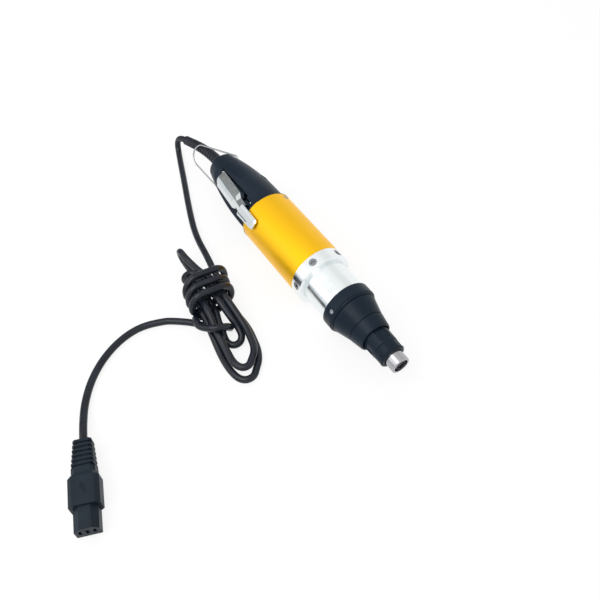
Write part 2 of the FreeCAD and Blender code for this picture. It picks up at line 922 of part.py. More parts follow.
def micro_switch():
    rear = lever_post_station - micro_switch_length / 2
    top = pocket_floor - cover_wall - seat_gap
    case = block(rear, rear + micro_switch_length, micro_switch_width / 2, top - micro_switch_height, top)
    bottom = plunger_top - 2 * plunger_depth
    well = radial(lever_post_station, plunger_radius + running_gap, bottom, plunger_top)
    return around(case.cut(well), lever_angle)


def switch_plunger():
    low = pocket_floor - cover_wall - micro_switch_height / 3
    return around(radial(lever_post_station, plunger_radius, low, plunger_top - seat_gap), lever_angle)


def direction_switch():
    half = direction_body_length / 2
    case = block(
        direction_station - half,
        direction_station + half,
        direction_body_width / 2,
        direction_body_top - direction_body_height,
        direction_body_top - seat_gap,
    )
    return around(case, direction_angle)


def direction_button():
    half = direction_button_length / 2
    top = cover_mid_radius + direction_button_rise
    button = block(
        direction_station - half,
        direction_station + half,
        direction_button_width / 2,
        direction_body_top + running_gap,
        top,
    )
    step = direction_button_length / direction_rib_count
    cuts = []
    for k in range(1, direction_rib_count):
        at = direction_station - half + step * k
        low = top - direction_rib_depth
        high = top + direction_rib_depth
        cuts.append(block(at - step / 4, at + step / 4, direction_button_width, low, high))
    return around(button.cut(cuts), direction_angle)


def bail_side(side):
    """Where one side of the bail turns from its foot into its leg, and where the leg meets the round end."""
    corner = point(bail_station, side * bail_half_width, 0)
    middle = point(bail_rear + bail_end_radius, -bail_sway, 0)
    way = middle - corner
    lean = math.atan2(way.y, way.x) - side * math.asin(bail_end_radius / way.Length)
    heading = point(math.cos(lean), math.sin(lean), 0)
    reach = math.sqrt(way.Length ** 2 - bail_end_radius ** 2)
    bend = corner - Y * (side * bail_corner)
    foot = bend - Y * (side * bail_foot)
    return foot, bend, corner + heading * bail_corner, corner + heading * reach, heading


def hanger_bail():
    """A bent wire loop with its feet in the sides of the cover."""
    near_foot, near_bend, near_leg, near_end, near_way = bail_side(-1)
    far_foot, far_bend, far_leg, far_end, far_way = bail_side(1)
    edges = [
        Part.makeLine(near_foot, near_bend),
        arc_edge(near_bend, -Y, near_leg)[0],
        Part.makeLine(near_leg, near_end),
        arc_edge(near_end, near_way, far_end)[0],
        Part.makeLine(far_end, far_leg),
        arc_edge(far_leg, -far_way, far_bend)[0],
        Part.makeLine(far_bend, far_foot),
    ]
    bail = tube_along(edges, bail_wire)
    bail.rotate(point(bail_station, 0, 0), Y, bail_tilt)
    return around(bail, lever_angle)


def relief_path(s):
    """Place and direction along the strain relief, counted from the cover's rear face."""
    lean = math.radians(relief_lean)
    down = point(0, -math.sin(lean), -math.cos(lean))
    if s <= 0:
        return point(-cover_length - s, 0, 0), -X
    bent = min(s, relief_arc_length) / relief_arc_radius
    place = -X * (cover_length + relief_arc_radius * math.sin(bent))
    place = place + down * (relief_arc_radius * (1 - math.cos(bent)))
    heading = -X * math.cos(bent) + down * math.sin(bent)
    return place + heading * max(0, s - relief_arc_length), heading


def strain_relief():
    end = relief_arc_length + relief_straight
    stations, radii = rib_outline(
        relief_base,
        end - relief_lip,
        relief_rib_count,
        relief_rib_share,
        relief_edge_share,
        relief_radius,
        relief_radius - relief_groove,
        relief_taper,
    )
    stations += [end - relief_groove, end]
    radii += [relief_end_radius, relief_end_radius - relief_groove]
    boot = ribbed([0] + stations, [relief_radius] + radii, relief_path)
    inside = -cover_length + cover_wall + seat_gap
    base = disc(-cover_length - relief_base, inside, relief_base_radius)
    flange = disc(inside, inside + relief_flange, relief_flange_radius)
    return boot.fuse([base, flange])


# Motor

def motor_tube():
    tube = disc(0, tube_length, tube_radius, tube_inner_radius)
    hole = radial(tube_screw_station, tube_screw_radius + seat_gap, 0, tube_radius + tube_wall)
    seat = tube_radius - tube_screw_head_depth
    sink = radial(tube_screw_station, tube_screw_head_radius + seat_gap, seat, tube_radius + tube_wall)
    return tube.cut(spread(hole.fuse(sink), tube_screw_count, tube_screw_angle))


def tube_screws():
    tip = cover_front_radius - cover_wall + seat_gap
    shank = radial(tube_screw_station, tube_screw_radius, tip, tube_radius - tube_screw_head_depth / 2)
    seat = tube_radius - tube_screw_head_depth + seat_gap
    head = radial(tube_screw_station, tube_screw_head_radius, seat, tube_radius - seat_gap)
    return Part.makeCompound(spread(shank.fuse(head), tube_screw_count, tube_screw_angle))


def motor_can():
    outer = tube_inner_radius - can_gap
    return disc(can_rear, can_front, outer, outer - can_wall)


def field_magnets():
    rear = can_rear + magnet_margin
    front = can_front - magnet_margin
    corners = [
        point(rear, 0, magnet_inner_radius),
        point(rear, 0, magnet_outer_radius),
        point(front, 0, magnet_outer_radius),
        point(front, 0, magnet_inner_radius),
    ]
    face = Part.Face(Part.makePolygon(corners + corners[:1]))
    arc = around(face, -magnet_span / 2).revolve(CENTRE, X, magnet_span)
    return Part.makeCompound(spread(arc, magnet_count, 0))


def motor_front_plate():
    return disc(can_front, plate_front, tube_inner_radius - can_gap, bush_outer_radius + seat_gap)


def front_motor_bush():
    return disc(can_front, plate_front, bush_outer_radius, shaft_radius + running_gap)


def motor_end_cap():
    rear = can_rear - end_cap_depth
    plate = disc(rear, rear + end_cap_plate, end_cap_radius)
    rim = disc(rear, can_rear, end_cap_radius, end_cap_radius - end_cap_rim)
    boss = disc(rear, shaft_rear + rear_bush_length, bush_outer_radius + holder_wall)
    middle = commutator_rear + commutator_length / 2
    holder = block(
        middle - brush_width / 2 - holder_wall,
        can_rear,
        brush_height / 2 + holder_wall,
        commutator_radius + holder_wall,
        end_cap_radius - end_cap_rim / 2,
    )
    web = block(
        rear + end_cap_plate / 2,
        can_rear,
        brush_height / 2 + holder_wall,
        commutator_radius + 2 * holder_wall,
        end_cap_radius - end_cap_rim / 2,
    )
    channel = block(
        middle - brush_width / 2 - seat_gap,
        middle + brush_width / 2 + seat_gap,
        brush_height / 2 + seat_gap,
        0,
        commutator_radius + running_gap + brush_length + free_gap,
    )
    cap = joined([plate, rim, boss] + spread(holder.fuse(web), brush_count, 90))
    bore = disc(shaft_rear, shaft_rear + 2 * rear_bush_length, bush_outer_radius + seat_gap)
    return cap.cut([bore] + spread(channel, brush_count, 90))


def rear_motor_bush():
    return disc(shaft_rear, shaft_rear + rear_bush_length, bush_outer_radius, shaft_radius + running_gap)


def carbon_brushes():
    rear = commutator_rear + (commutator_length - brush_width) / 2
    low = commutator_radius + running_gap
    brush = block(rear, rear + brush_width, brush_height / 2, low, low + brush_length)
    return Part.makeCompound(spread(brush, brush_count, 90))


def motor_shaft():
    thick = disc(shaft_rear + free_gap, shaft_front, shaft_radius)
    return thick.fuse(disc(shaft_front, planet_front, pinion_seat_radius))


def armature_core():
    rear = can_rear + core_margin
    core = disc(rear, rear + core_length, core_radius, shaft_radius + seat_gap)
    slot = Part.makeCylinder(core_slot_radius, core_length, point(rear, 0, core_slot_orbit), X)
    outside = core_radius + core_slot_radius
    opening = block(rear, rear + core_length, core_slot_opening / 2, core_slot_orbit, outside)
    return core.cut(spread(slot.fuse(opening), core_slot_count, 0))


def armature_windings():
    rear = can_rear + core_margin
    front = rear + core_length
    bar_radius = core_slot_radius - winding_gap
    length = core_length + 2 * winding_overhang
    bar = Part.makeCylinder(bar_radius, length, point(rear - winding_overhang, 0, core_slot_orbit), X)
    outer = winding_outer_radius
    inner = winding_inner_radius
    rear_turns = disc(rear - winding_overhang, rear - winding_gap, outer, inner)
    front_turns = disc(front + winding_gap, front + winding_overhang, outer, inner)
    return joined([rear_turns, front_turns] + spread(bar, core_slot_count, 0))


def commutator():
    bore = shaft_radius + seat_gap
    ring = disc(commutator_rear, commutator_rear + commutator_length, commutator_radius, bore)
    groove = block(
        commutator_rear,
        commutator_rear + commutator_length,
        commutator_groove / 2,
        commutator_radius - commutator_groove,
        commutator_radius + commutator_groove,
    )
    return ring.cut(spread(groove, commutator_segments, 0))


# Gear stage

def outer_gear(teeth, pitch_radius, start, rear, front, bore):
    thickness = math.pi * gear_module / 2 - tooth_backlash
    root = pitch_radius - tooth_root_share * gear_module
    tip = pitch_radius + tooth_tip_share * gear_module
    gear = gear_prism(tooth_outline(teeth, pitch_radius, root, tip, thickness, start), rear, front)
    return gear.cut(disc(rear - gear_module, front + gear_module, bore))


def sun_gear():
    return outer_gear(sun_teeth, sun_pitch_radius, 0, gear_rear, planet_front, pinion_seat_radius + seat_gap)


def planet_angle(k):
    return 360 * k / planet_count


def planet_gear(k):
    facing = math.pi / planet_teeth + math.pi
    bore = planet_pin_radius + running_gap
    gear = outer_gear(planet_teeth, planet_pitch_radius, facing, planet_rear, planet_front, bore)
    gear.translate(Z * planet_orbit)
    return around(gear, planet_angle(k))


def ring_gear():
    root = ring_pitch_radius + tooth_root_share * gear_module
    thickness = math.pi * gear_module / 2 + tooth_backlash
    tip = ring_pitch_radius - ring_tip_share * gear_module
    blank = disc(gear_rear, ring_gear_front, housing_bore - seat_gap)
    spaces = tooth_outline(ring_teeth, ring_pitch_radius, tip, root, thickness, 0)
    return blank.cut(gear_prism(spaces, gear_rear - gear_module, ring_gear_front + gear_module))


def planet_carrier():
    plate = disc(carrier_rear, carrier_front, carrier_radius, spindle_radius + seat_gap)
    place = point(carrier_rear, 0, planet_orbit)
    hole = Part.makeCylinder(planet_pin_radius + seat_gap, carrier_thickness, place, X)
    return plate.cut(spread(hole, planet_count, 0))


def planet_pins():
    place = point(planet_rear, 0, planet_orbit)
    pin = Part.makeCylinder(planet_pin_radius, carrier_front - planet_rear, place, X)
    return Part.makeCompound(spread(pin, planet_count, 0))


# Front ring, housing and clutch

def ring_middle():
    return (ring_rear + ring_front) / 2


def front_ring():
    inner = housing_radius + seat_gap
    ring = turned([
        (ring_rear, inner),
        (ring_rear, ring_radius),
        (ring_front - ring_bevel, ring_radius),
        (ring_front, ring_radius - ring_bevel),
        (ring_front, inner),
    ])
    hole = radial(ring_middle(), ring_screw_radius + seat_gap, 0, ring_radius + ring_bevel)
    seat = ring_radius - ring_screw_head_depth
    sink = radial(ring_middle(), ring_screw_head_radius + seat_gap, seat, ring_radius + ring_bevel)
    return ring.cut(spread(hole.fuse(sink), ring_screw_count, ring_screw_angle))


def front_ring_screws():
    low = housing_bore + seat_gap
    seat = ring_radius - ring_screw_head_depth + seat_gap
    shank = radial(ring_middle(), ring_screw_radius, low, seat + seat_gap)
    head = radial(ring_middle(), ring_screw_head_radius, seat, ring_radius - free_gap)
    half_length = ring_screw_recess_length / 2
    half_width = ring_screw_recess_width / 2
    floor = ring_radius - free_gap - ring_screw_recess
    middle = ring_middle()
    along = block(middle - half_length, middle + half_length, half_width, floor, ring_radius)
    across = block(middle - half_width, middle + half_width, half_length, floor, ring_radius)
    screw = shank.fuse(head).cut([along, across])
    return Part.makeCompound(spread(screw, ring_screw_count, ring_screw_angle))


def gear_housing():
    spigot_radius = tube_inner_radius - seat_gap
    front_bore = housing_radius - clutch_wall
    bush_seat = neck_bore
    body = turned([
        (tube_length - housing_spigot, housing_bore),
        (tube_length - housing_spigot, spigot_radius),
        (tube_length - seat_gap, spigot_radius),
        (tube_length - seat_gap, housing_radius),
        (housing_front, housing_radius),
        (housing_front, front_bore),
        (partition_front, front_bore),
        (partition_front, neck_radius),
        (neck_front, neck_radius),
        (neck_front, bush_seat),
        (partition_rear, bush_seat),
        (partition_rear, housing_bore),
    ])
    ball_place = point(partition_rear - free_gap, 0, clutch_ball_orbit)
    ball_hole = Part.makeCylinder(clutch_ball_radius + seat_gap, 2 * partition_thickness, ball_place, X)
    screw_hole = radial(ring_middle(), ring_screw_radius + seat_gap, 0, ring_radius)
    set_hole = radial(set_screw_station, set_screw_radius + seat_gap, 0, ring_radius)
    keep = disc(tube_length - housing_spigot, neck_front, neck_radius + free_gap)
    drills = spread(screw_hole, ring_screw_count, ring_screw_angle)
    drills += spread(set_hole, set_screw_count, set_screw_angle)
    return body.cut(spread(ball_hole, clutch_ball_count, 0) + [joined(drills).cut(keep)])


def clutch_balls():
    ball = Part.makeSphere(clutch_ball_radius, point(clutch_ball_station, 0, clutch_ball_orbit))
    return Part.makeCompound(spread(ball, clutch_ball_count, 0))


def thrust_plate():
    rear = partition_front + seat_gap
    outer = housing_radius - clutch_wall - free_gap
    return disc(rear, rear + thrust_plate_thickness, outer, neck_radius + free_gap)


def torque_spring():
    front = washer_front - washer_thickness - seat_gap
    return coil(
        thrust_plate_front + seat_gap, front, torque_spring_radius, torque_spring_wire, torque_spring_turns
    )


def spindle_bush(rear):
    return disc(rear, rear + spindle_bush_length, neck_bore - seat_gap, spindle_radius + running_gap)


# Nose

def nose_cone():
    step_station = cone_rear + cone_rim_length
    taper_front = step_station + cone_step_length + cone_taper_length
    inner = housing_radius + seat_gap
    shoulder = housing_front + seat_gap
    bore = nut_thread_radius + 2 * running_gap
    body = turned([
        (cone_rear, inner),
        (cone_rear, cone_rim_radius - cone_rim_bevel),
        (cone_rear + cone_rim_bevel, cone_rim_radius),
        (step_station, cone_rim_radius),
        (step_station + cone_step_length, cone_rim_radius - cone_step),
        (taper_front, cone_taper_radius),
        (taper_front, cone_taper_radius - cone_groove),
        (taper_front + cone_groove_length, cone_taper_radius - cone_groove),
        (taper_front + cone_groove_length, cone_taper_radius),
        (cone_front - cone_lip, cone_collar_radius),
        (cone_front, cone_collar_radius - cone_lip),
        (cone_front, bore),
        (shoulder + cone_shoulder_length, bore),
        (shoulder, cone_shoulder_radius),
        (shoulder, inner),
    ])
    hole = radial(set_screw_station, set_screw_radius + seat_gap, 0, cone_rim_radius + cone_rim_bevel)
    return body.cut(spread(hole, set_screw_count, set_screw_angle))


def nose_set_screws():
    high = cone_rim_radius - set_screw_sink
    screw = radial(set_screw_station, set_screw_radius, high - set_screw_length, high)
    socket = radial(set_screw_station, set_screw_socket, high - set_screw_socket, high)
    return Part.makeCompound(spread(screw.cut(socket), set_screw_count, set_screw_angle))


def torque_nut():
    thread_front = nut_rear + nut_thread_length
    body = turned([
        (nut_rear, nut_bore),
        (nut_rear, nut_thread_radius),
        (thread_front, nut_thread_radius),
        (thread_front, nut_rear_radius),
        (nut_front - nut_front_bevel, nut_front_radius),
        (nut_front, nut_front_radius - nut_front_bevel),
        (nut_front, nut_bore),
    ])
    drop = (nut_rear_radius - nut_front_radius) / (nut_front - nut_front_bevel - thread_front)
    high = nut_rear_radius + nut_flute_radius - nut_flute_depth
    flute_front = nut_front - nut_flute_inset
    flute_rear = flute_front - nut_flute_length
    start = point(flute_rear, 0, high - drop * (flute_rear - thread_front))
    end = point(flute_front, 0, high - drop * (flute_front - thread_front))
    way = end - start
    flute = Part.makeCylinder(nut_flute_radius, way.Length, start, way)
    flute = flute.fuse([Part.makeSphere(nut_flute_radius, start), Part.makeSphere(nut_flute_radius, end)])
    return body.cut(spread(flute, nut_flute_count, 0))


def nut_washer():
    return disc(washer_front - washer_thickness, washer_front, washer_radius, neck_radius + free_gap)


def spindle():
    collar_front = spindle_collar_station + spindle_collar_length
    body = disc(carrier_rear, spindle_front, spindle_radius)
    body = body.fuse(disc(spindle_collar_station, collar_front, spindle_collar_radius))
    bore = disc(spindle_front - bit_bore_depth, spindle_front, bit_bore_radius)
    hole = radial(ball_station, ball_radius + ball_hole_gap, 0, spindle_radius + ball_radius)
    clip_rear = circlip_rear() - seat_gap
    clip_front = circlip_rear() + circlip_thickness + seat_gap
    groove = disc(clip_rear, clip_front, spindle_radius + circlip_proud, spindle_radius - circlip_groove)
    return body.cut([bore, groove] + spread(hole, ball_count, 90))


def circlip_rear():
    return sleeve_land_rear + sleeve_land_length + 2 * seat_gap


def retaining_ring():
    inner = spindle_radius - circlip_groove + seat_gap
    rear = circlip_rear()
    front = rear + circlip_thickness
    ring = disc(rear, front, spindle_radius + circlip_proud, inner)
    gap = block(rear - free_gap, front + free_gap, circlip_opening / 2, -tube_radius, 0)
    return ring.cut(gap)


def locking_balls():
    place = bit_bore_radius - ball_rise + ball_radius
    ball = Part.makeSphere(ball_radius, point(ball_station, 0, place))
    return Part.makeCompound(spread(ball, ball_count, 90))


def sleeve_spring():
    rear = spindle_collar_station + spindle_collar_length + seat_gap
    radius = (spindle_radius + sleeve_chamber_radius) / 2
    return coil(rear, sleeve_land_rear - seat_gap, radius, sleeve_spring_wire, sleeve_spring_turns)


def bit_sleeve():
    land = spindle_radius + 2 * running_gap
    land_front = sleeve_land_rear + sleeve_land_length
    return turned([
        (sleeve_rear, sleeve_chamber_radius),
        (sleeve_rear, sleeve_radius),
        (sleeve_front - sleeve_bevel, sleeve_radius),
        (sleeve_front, sleeve_radius - sleeve_bevel),
        (sleeve_front, sleeve_chamber_radius),
        (land_front, sleeve_chamber_radius),
        (land_front, land),
        (sleeve_land_rear, land),
        (sleeve_land_rear, sleeve_chamber_radius),
    ])


# Cord

def hank_keys():
    """Places and directions of the hank's route, from the lead's end to the plug's stretch."""
    keys = []
    base = point(hank_x, hank_y, cord_radius)
    turn = FreeCAD.Rotation(Z, hank_heading)

    def key(u, v, z, du, dv, dz):
        way = point(du, dv, dz)
        way.normalize()
        keys.append((base + turn.multVec(point(u, v, z) * strand_pitch), turn.multVec(way)))

    middle = wrap_half_height_share
    low = middle - strand_row_share
    high = middle + strand_row_share
    rear = waist_rear_share
    front = waist_front_share
    drop = strand_drop_share

    key(*hank_entry_shares, 1, -0.12, 0.04)
    key(rear, 1, low, 1, 0, 0)
    key(front, waist_low_spread_share, low - drop, 1, 0.12, -drop)
    side, wide = outer_loop_side_shares, outer_loop_wide_shares
    key(*side, 1, 0.28, -0.24)
    key(*wide, 1, 0, 0)
    key(outer_loop_end_share, 0, 0, 0, -1, 0)
    key(wide[0], -wide[1], wide[2], -1, 0, 0)
    key(side[0], -side[1], side[2], -1, 0.28, 0.24)
    key(front, -waist_low_spread_share, low - drop, -1, 0.12, drop)
    key(rear, -1, low, -1, 0, 0)
    key(*long_fold_low_shares, -1, -0.02, -0.14)
    key(*long_fold_end_shares, 0, 0.72, 0.7)
    key(*long_fold_high_shares, 1, 0.16, 0.1)
    key(rear, 1, high, 1, 0, 0)
    key(front, waist_high_spread_share, high - drop / 2, 1, 0.05, -0.12)
    side, wide = inner_loop_side_shares, inner_loop_wide_shares
    key(*side, 1, 0.22, -0.4)
    key(*wide, 1, 0.05, -0.05)
    key(inner_loop_end_shares[0], 0, inner_loop_end_shares[1], 0, -1, 0)
    key(wide[0], -wide[1], wide[2], -1, 0.05, 0.05)
    key(side[0], -side[1], side[2], -1, 0.22, 0.4)
    key(front, -1, high - drop / 2, -1, 0.05, 0.12)
    key(rear, -1, high, -1, 0, 0)
    key(*short_fold_low_shares, -1, -0.1, 0.02)
    key(*short_fold_end_shares, 0, 0.9, 0.42)
    key(*short_fold_high_shares, 1, 0, -0.16)
    key(middle_rear_share, 0, high, 1, 0, -0.12)
    key(middle_front_share, middle_top_spread_share, high - drop / 3, 1, 0.04, -0.2)
    wide = small_loop_wide_shares
    key(*small_loop_down_shares, 1, 0.35, -0.75)
    key(*wide, 0.9, 0.2, -0.2)
    key(small_loop_end_share, 0, 0, 0, -1, 0)
    key(wide[0], -wide[1], 0, -1, 0.25, 0)
    key(*small_loop_up_shares, -1, 0.3, 0.42)
    key(middle_front_share, middle_low_spread_share, low - drop, -1, 0.05, 0.2)
    key(middle_end_share, 0, low, -1, 0, 0)
    key(*wrap_entry_shares, 0, -0.35, -1, -0.02)
    across = wrap_half_width_share
    wraps = zip(wrap_left_shares, wrap_top_shares, wrap_right_shares, wrap_low_shares)
    for left, top, right, under in wraps:
        key(left, -across, middle, 0.05, 0, 1)
        key(top, 0, 2 * middle, 0.1, 1, 0)
        key(right, across, middle, 0.1, 0, -1)
        key(under, 0, 0, 0.15, -1, 0)
    key(*hank_exit_shares, 0, -0.75, -0.66, 0)
    return keys


def least_gap(edges):
    """Least clear distance between stretches of the hank that are apart along the cord."""
    places = []
    for edge in edges:
        steps = max(2, int(edge.Length / cord_radius * 2))
        for p in edge.discretize(steps + 1)[:-1]:
            places.append(p)
    travelled = [0]
    for a, b in zip(places, places[1:]):
        travelled.append(travelled[-1] + (b - a).Length)
    least = None
    apart = 3 * strand_pitch
    for i, p in enumerate(places):
        for j in range(i + 1, len(places)):
            if travelled[j] - travelled[i] > apart:
                gap = (places[j] - p).Length
                if least is None or gap < least:
                    least = gap
    return least - 2 * cord_radius


def say_tube(name, solid, edges, radii):
    length = sum(e.Length for e in edges)
    share = solid.Volume / (math.pi * cord_radius ** 2 * length)
    tightest = round(min(radii), 2)
    print(name, "length", round(length, 1), "least radius", tightest, "volume share", round(share, 4))


def floor_points(route):
    return [point(x, y, cord_radius + lift) for x, y, lift in route]


def cord_lead():
    """The cord from the strain relief to the hank."""
    start, heading = relief_path(relief_arc_length + relief_straight + seat_gap)
    start = start + Z * axis_height
    entry, way = hank_keys()[0]
    points = [start, start + heading * lead_straight] + floor_points(lead_route)
    points += [entry - way * (4 * cord_radius), entry]
    edges, radii = route_edges(points)
    solid = tube_along(edges, cord_radius)
    say_tube("cord_lead", solid, edges, radii)
    print("lead radii", [round(r, 1) for r in radii])
    return solid


def cord_hank():
    edges, radii = biarc_edges(hank_keys())
    solid = tube_along(edges, cord_radius)
    say_tube("cord_hank", solid, edges, radii)
    print("hank least gap to itself", round(least_gap(edges), 2))
    return solid


def plug_way():
    turn = math.radians(plug_heading)
    return point(math.cos(turn), math.sin(turn), 0)


def cord_tail():
    """The cord from the hank to the connector."""
    leave, way = hank_keys()[-1]
    end = point(plug_x, plug_y, plug_height)
    points = [leave, leave + way * (4 * cord_radius)] + floor_points(tail_route)
    points += [end - plug_way() * (2 * cord_radius), end]
    edges, radii = route_edges(points)
    solid = tube_along(edges, cord_radius)
    say_tube("cord_tail", solid, edges, radii)
    print("tail radii", [round(r, 1) for r in radii])
    return solid


# Connector, made along X from the cord's end and then put in its place

def plug_place(shape):
    moved = shape.copy()
    moved.rotate(CENTRE, Z, plug_heading)
    moved.translate(point(plug_x, plug_y, plug_height))
    return moved


def plug_section(station, half_width, half_height, bevel):
    corners = []
    for y, z, turn in ((1, 1, 1), (-1, 1, -1), (-1, -1, 1), (1, -1, -1)):
        level = point(station, y * (half_width - bevel), z * half_height)
        upright = point(station, y * half_width, z * (half_height - bevel))
        corners += [upright, level] if turn > 0 else [level, upright]
    return Part.makePolygon(corners + corners[:1])


def plug_boot():
    """The ribbed boot with square sections, which widens towards the plug's body."""
    low = plug_boot_radius - plug_boot_groove
    stations, radii = rib_outline(
        0, plug_boot_length, plug_boot_ribs, plug_boot_rib_share, relief_edge_share, plug_boot_radius, low
    )
    grow = plug_boot_taper / plug_boot_length
    sections = []
    for s, r in zip(stations, radii):
        half = r + grow * s
        sections.append(plug_section(s, half, half, plug_boot_bevel))
    return plug_place(loft(sections))


def plug_ridges(front):
    """Short slanting grip ridges on the body's upper face."""
    top = plug_body_height / 2
    half = plug_ridge_length / 2
    ridges = []
    for k in range(plug_ridge_count):
        ridge = Part.makeBox(
            plug_ridge_length, plug_ridge_width, 2 * plug_ridge_depth, point(-half, 0, top - plug_ridge_depth)
        )
        ridge.rotate(CENTRE, Z, plug_ridge_turn)
        ridge.translate(point(front - plug_ridge_inset - k * plug_ridge_spacing, 0, 0))
        ridges.append(ridge)
    return ridges


def plug_body():
    rear = plug_boot_length
    front = rear + plug_body_length
    half_neck = plug_neck_width / 2
    half_width = plug_body_width / 2
    half_height = plug_body_height / 2
    shoulder = rear + plug_neck_length + plug_shoulder_length
    body = loft([
        plug_section(rear, half_neck, half_height - plug_body_bevel / 4, plug_body_bevel),
        plug_section(rear + plug_neck_length, half_neck, half_height - plug_body_bevel / 4, plug_body_bevel),
        plug_section(shoulder, half_width, half_height, plug_body_bevel),
        plug_section(front, half_width, half_height, plug_body_bevel),
    ])
    socket = insert_block(front - plug_insert_seat, front + plug_insert_length, seat_gap)
    return plug_place(body.cut([socket] + plug_ridges(front)))


def insert_block(rear, front, grow):
    half_width = plug_insert_width / 2 + grow
    half_height = plug_insert_height / 2 + grow
    corners = [
        point(rear, -half_width, -half_height),
        point(rear, half_width, -half_height),
        point(rear, half_width, half_height - plug_insert_bevel),
        point(rear, half_width - plug_insert_bevel, half_height),
        point(rear, -half_width + plug_insert_bevel, half_height),
        point(rear, -half_width, half_height - plug_insert_bevel),
    ]
    return Part.Face(Part.makePolygon(corners + corners[:1])).extrude(X * (front - rear))


def contact_slots(shrink, depth):
    front = plug_boot_length + plug_body_length + plug_insert_length
    slots = []
    for k in range(contact_count):
        y = (k - (contact_count - 1) / 2) * contact_spacing
        half_width = contact_width / 2 - shrink
        half_height = contact_height / 2 - shrink
        corner = point(front - depth, y - half_width, -half_height)
        slots.append(Part.makeBox(depth, 2 * half_width, 2 * half_height, corner))
    return slots


def plug_insert():
    front = plug_boot_length + plug_body_length
    rear = front - plug_insert_seat + seat_gap
    block_shape = insert_block(rear, front + plug_insert_length, 0)
    return plug_place(block_shape.cut(contact_slots(0, contact_depth)))


def plug_contacts():
    outer = contact_slots(seat_gap, contact_depth - seat_gap)
    inner = contact_slots(seat_gap + contact_lining, contact_depth - contact_lining)
    front = plug_boot_length + plug_body_length + plug_insert_length
    half_height = plug_body_height / 2
    trim = block(front - contact_recess, front + contact_recess, plug_body_width, -half_height, half_height)
    return plug_place(Part.makeCompound([a.cut([b, trim]) for a, b in zip(outer, inner)]))


def nodes():
    """Every piece by name; the pieces of the tool are still about its own axis."""
    upper, lower = rear_cover()
    tool = {
        "rear_cover_upper": upper,
        "rear_cover_lower": lower,
        "rear_cover_screws": cover_screws(),
        "start_lever": start_lever(),
        "lever_pin": lever_pin(),
        "lever_spring": lever_spring(),
        "micro_switch": micro_switch(),
        "switch_plunger": switch_plunger(),
        "direction_switch": direction_switch(),
        "direction_button": direction_button(),
        "hanger_bail": hanger_bail(),
        "strain_relief": strain_relief(),
        "motor_tube": motor_tube(),
        "tube_screws": tube_screws(),
        "motor_can": motor_can(),
        "field_magnets": field_magnets(),
        "motor_front_plate": motor_front_plate(),
        "front_motor_bush": front_motor_bush(),
        "motor_end_cap": motor_end_cap(),
        "rear_motor_bush": rear_motor_bush(),
        "carbon_brushes": carbon_brushes(),
        "motor_shaft": motor_shaft(),
        "armature_core": armature_core(),
        "armature_windings": armature_windings(),
        "commutator": commutator(),
        "sun_gear": sun_gear(),
        "ring_gear": ring_gear(),
        "planet_carrier": planet_carrier(),
        "planet_pins": planet_pins(),
        "front_ring": front_ring(),
        "front_ring_screws": front_ring_screws(),
        "gear_housing": gear_housing(),
        "clutch_balls": clutch_balls(),
        "thrust_plate": thrust_plate(),
        "torque_spring": torque_spring(),
        "rear_spindle_bush": spindle_bush(partition_rear),
        "front_spindle_bush": spindle_bush(neck_front - spindle_bush_length),
        "nose_cone": nose_cone(),
        "nose_set_screws": nose_set_screws(),
        "torque_nut": torque_nut(),
        "nut_washer": nut_washer(),
        "spindle": spindle(),
        "retaining_ring": retaining_ring(),
        "locking_balls": locking_balls(),
        "sleeve_spring": sleeve_spring(),
        "bit_sleeve": bit_sleeve(),
    }
    for k in range(planet_count):
        tool["planet_gear_" + str(k + 1)] = planet_gear(k)
    for shape in tool.values():
        shape.translate(Z * axis_height)
    tool["cord_lead"] = cord_lead()
    tool["cord_hank"] = cord_hank()
    tool["cord_tail"] = cord_tail()
    tool["plug_boot"] = plug_boot()
    tool["plug_body"] = plug_body()
    tool["plug_insert"] = plug_insert()
    tool["plug_contacts"] = plug_contacts()
    return tool


def main():
    os.makedirs("parts", exist_ok=True)
    for name, shape in nodes().items():
        shape.translate(X * -origin_station)
        shape.exportStep("parts/" + name + ".step")
        box = shape.BoundBox
        sides = [round(side, 1) for side in (box.XLength, box.YLength, box.ZLength)]
        print(name, len(shape.Solids), round(shape.Volume, 1), sides, "" if shape.isValid() else "INVALID")


if __name__ == "__main__":
    main()
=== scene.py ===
import json
import math
import bpy
from mathutils import Matrix, Vector

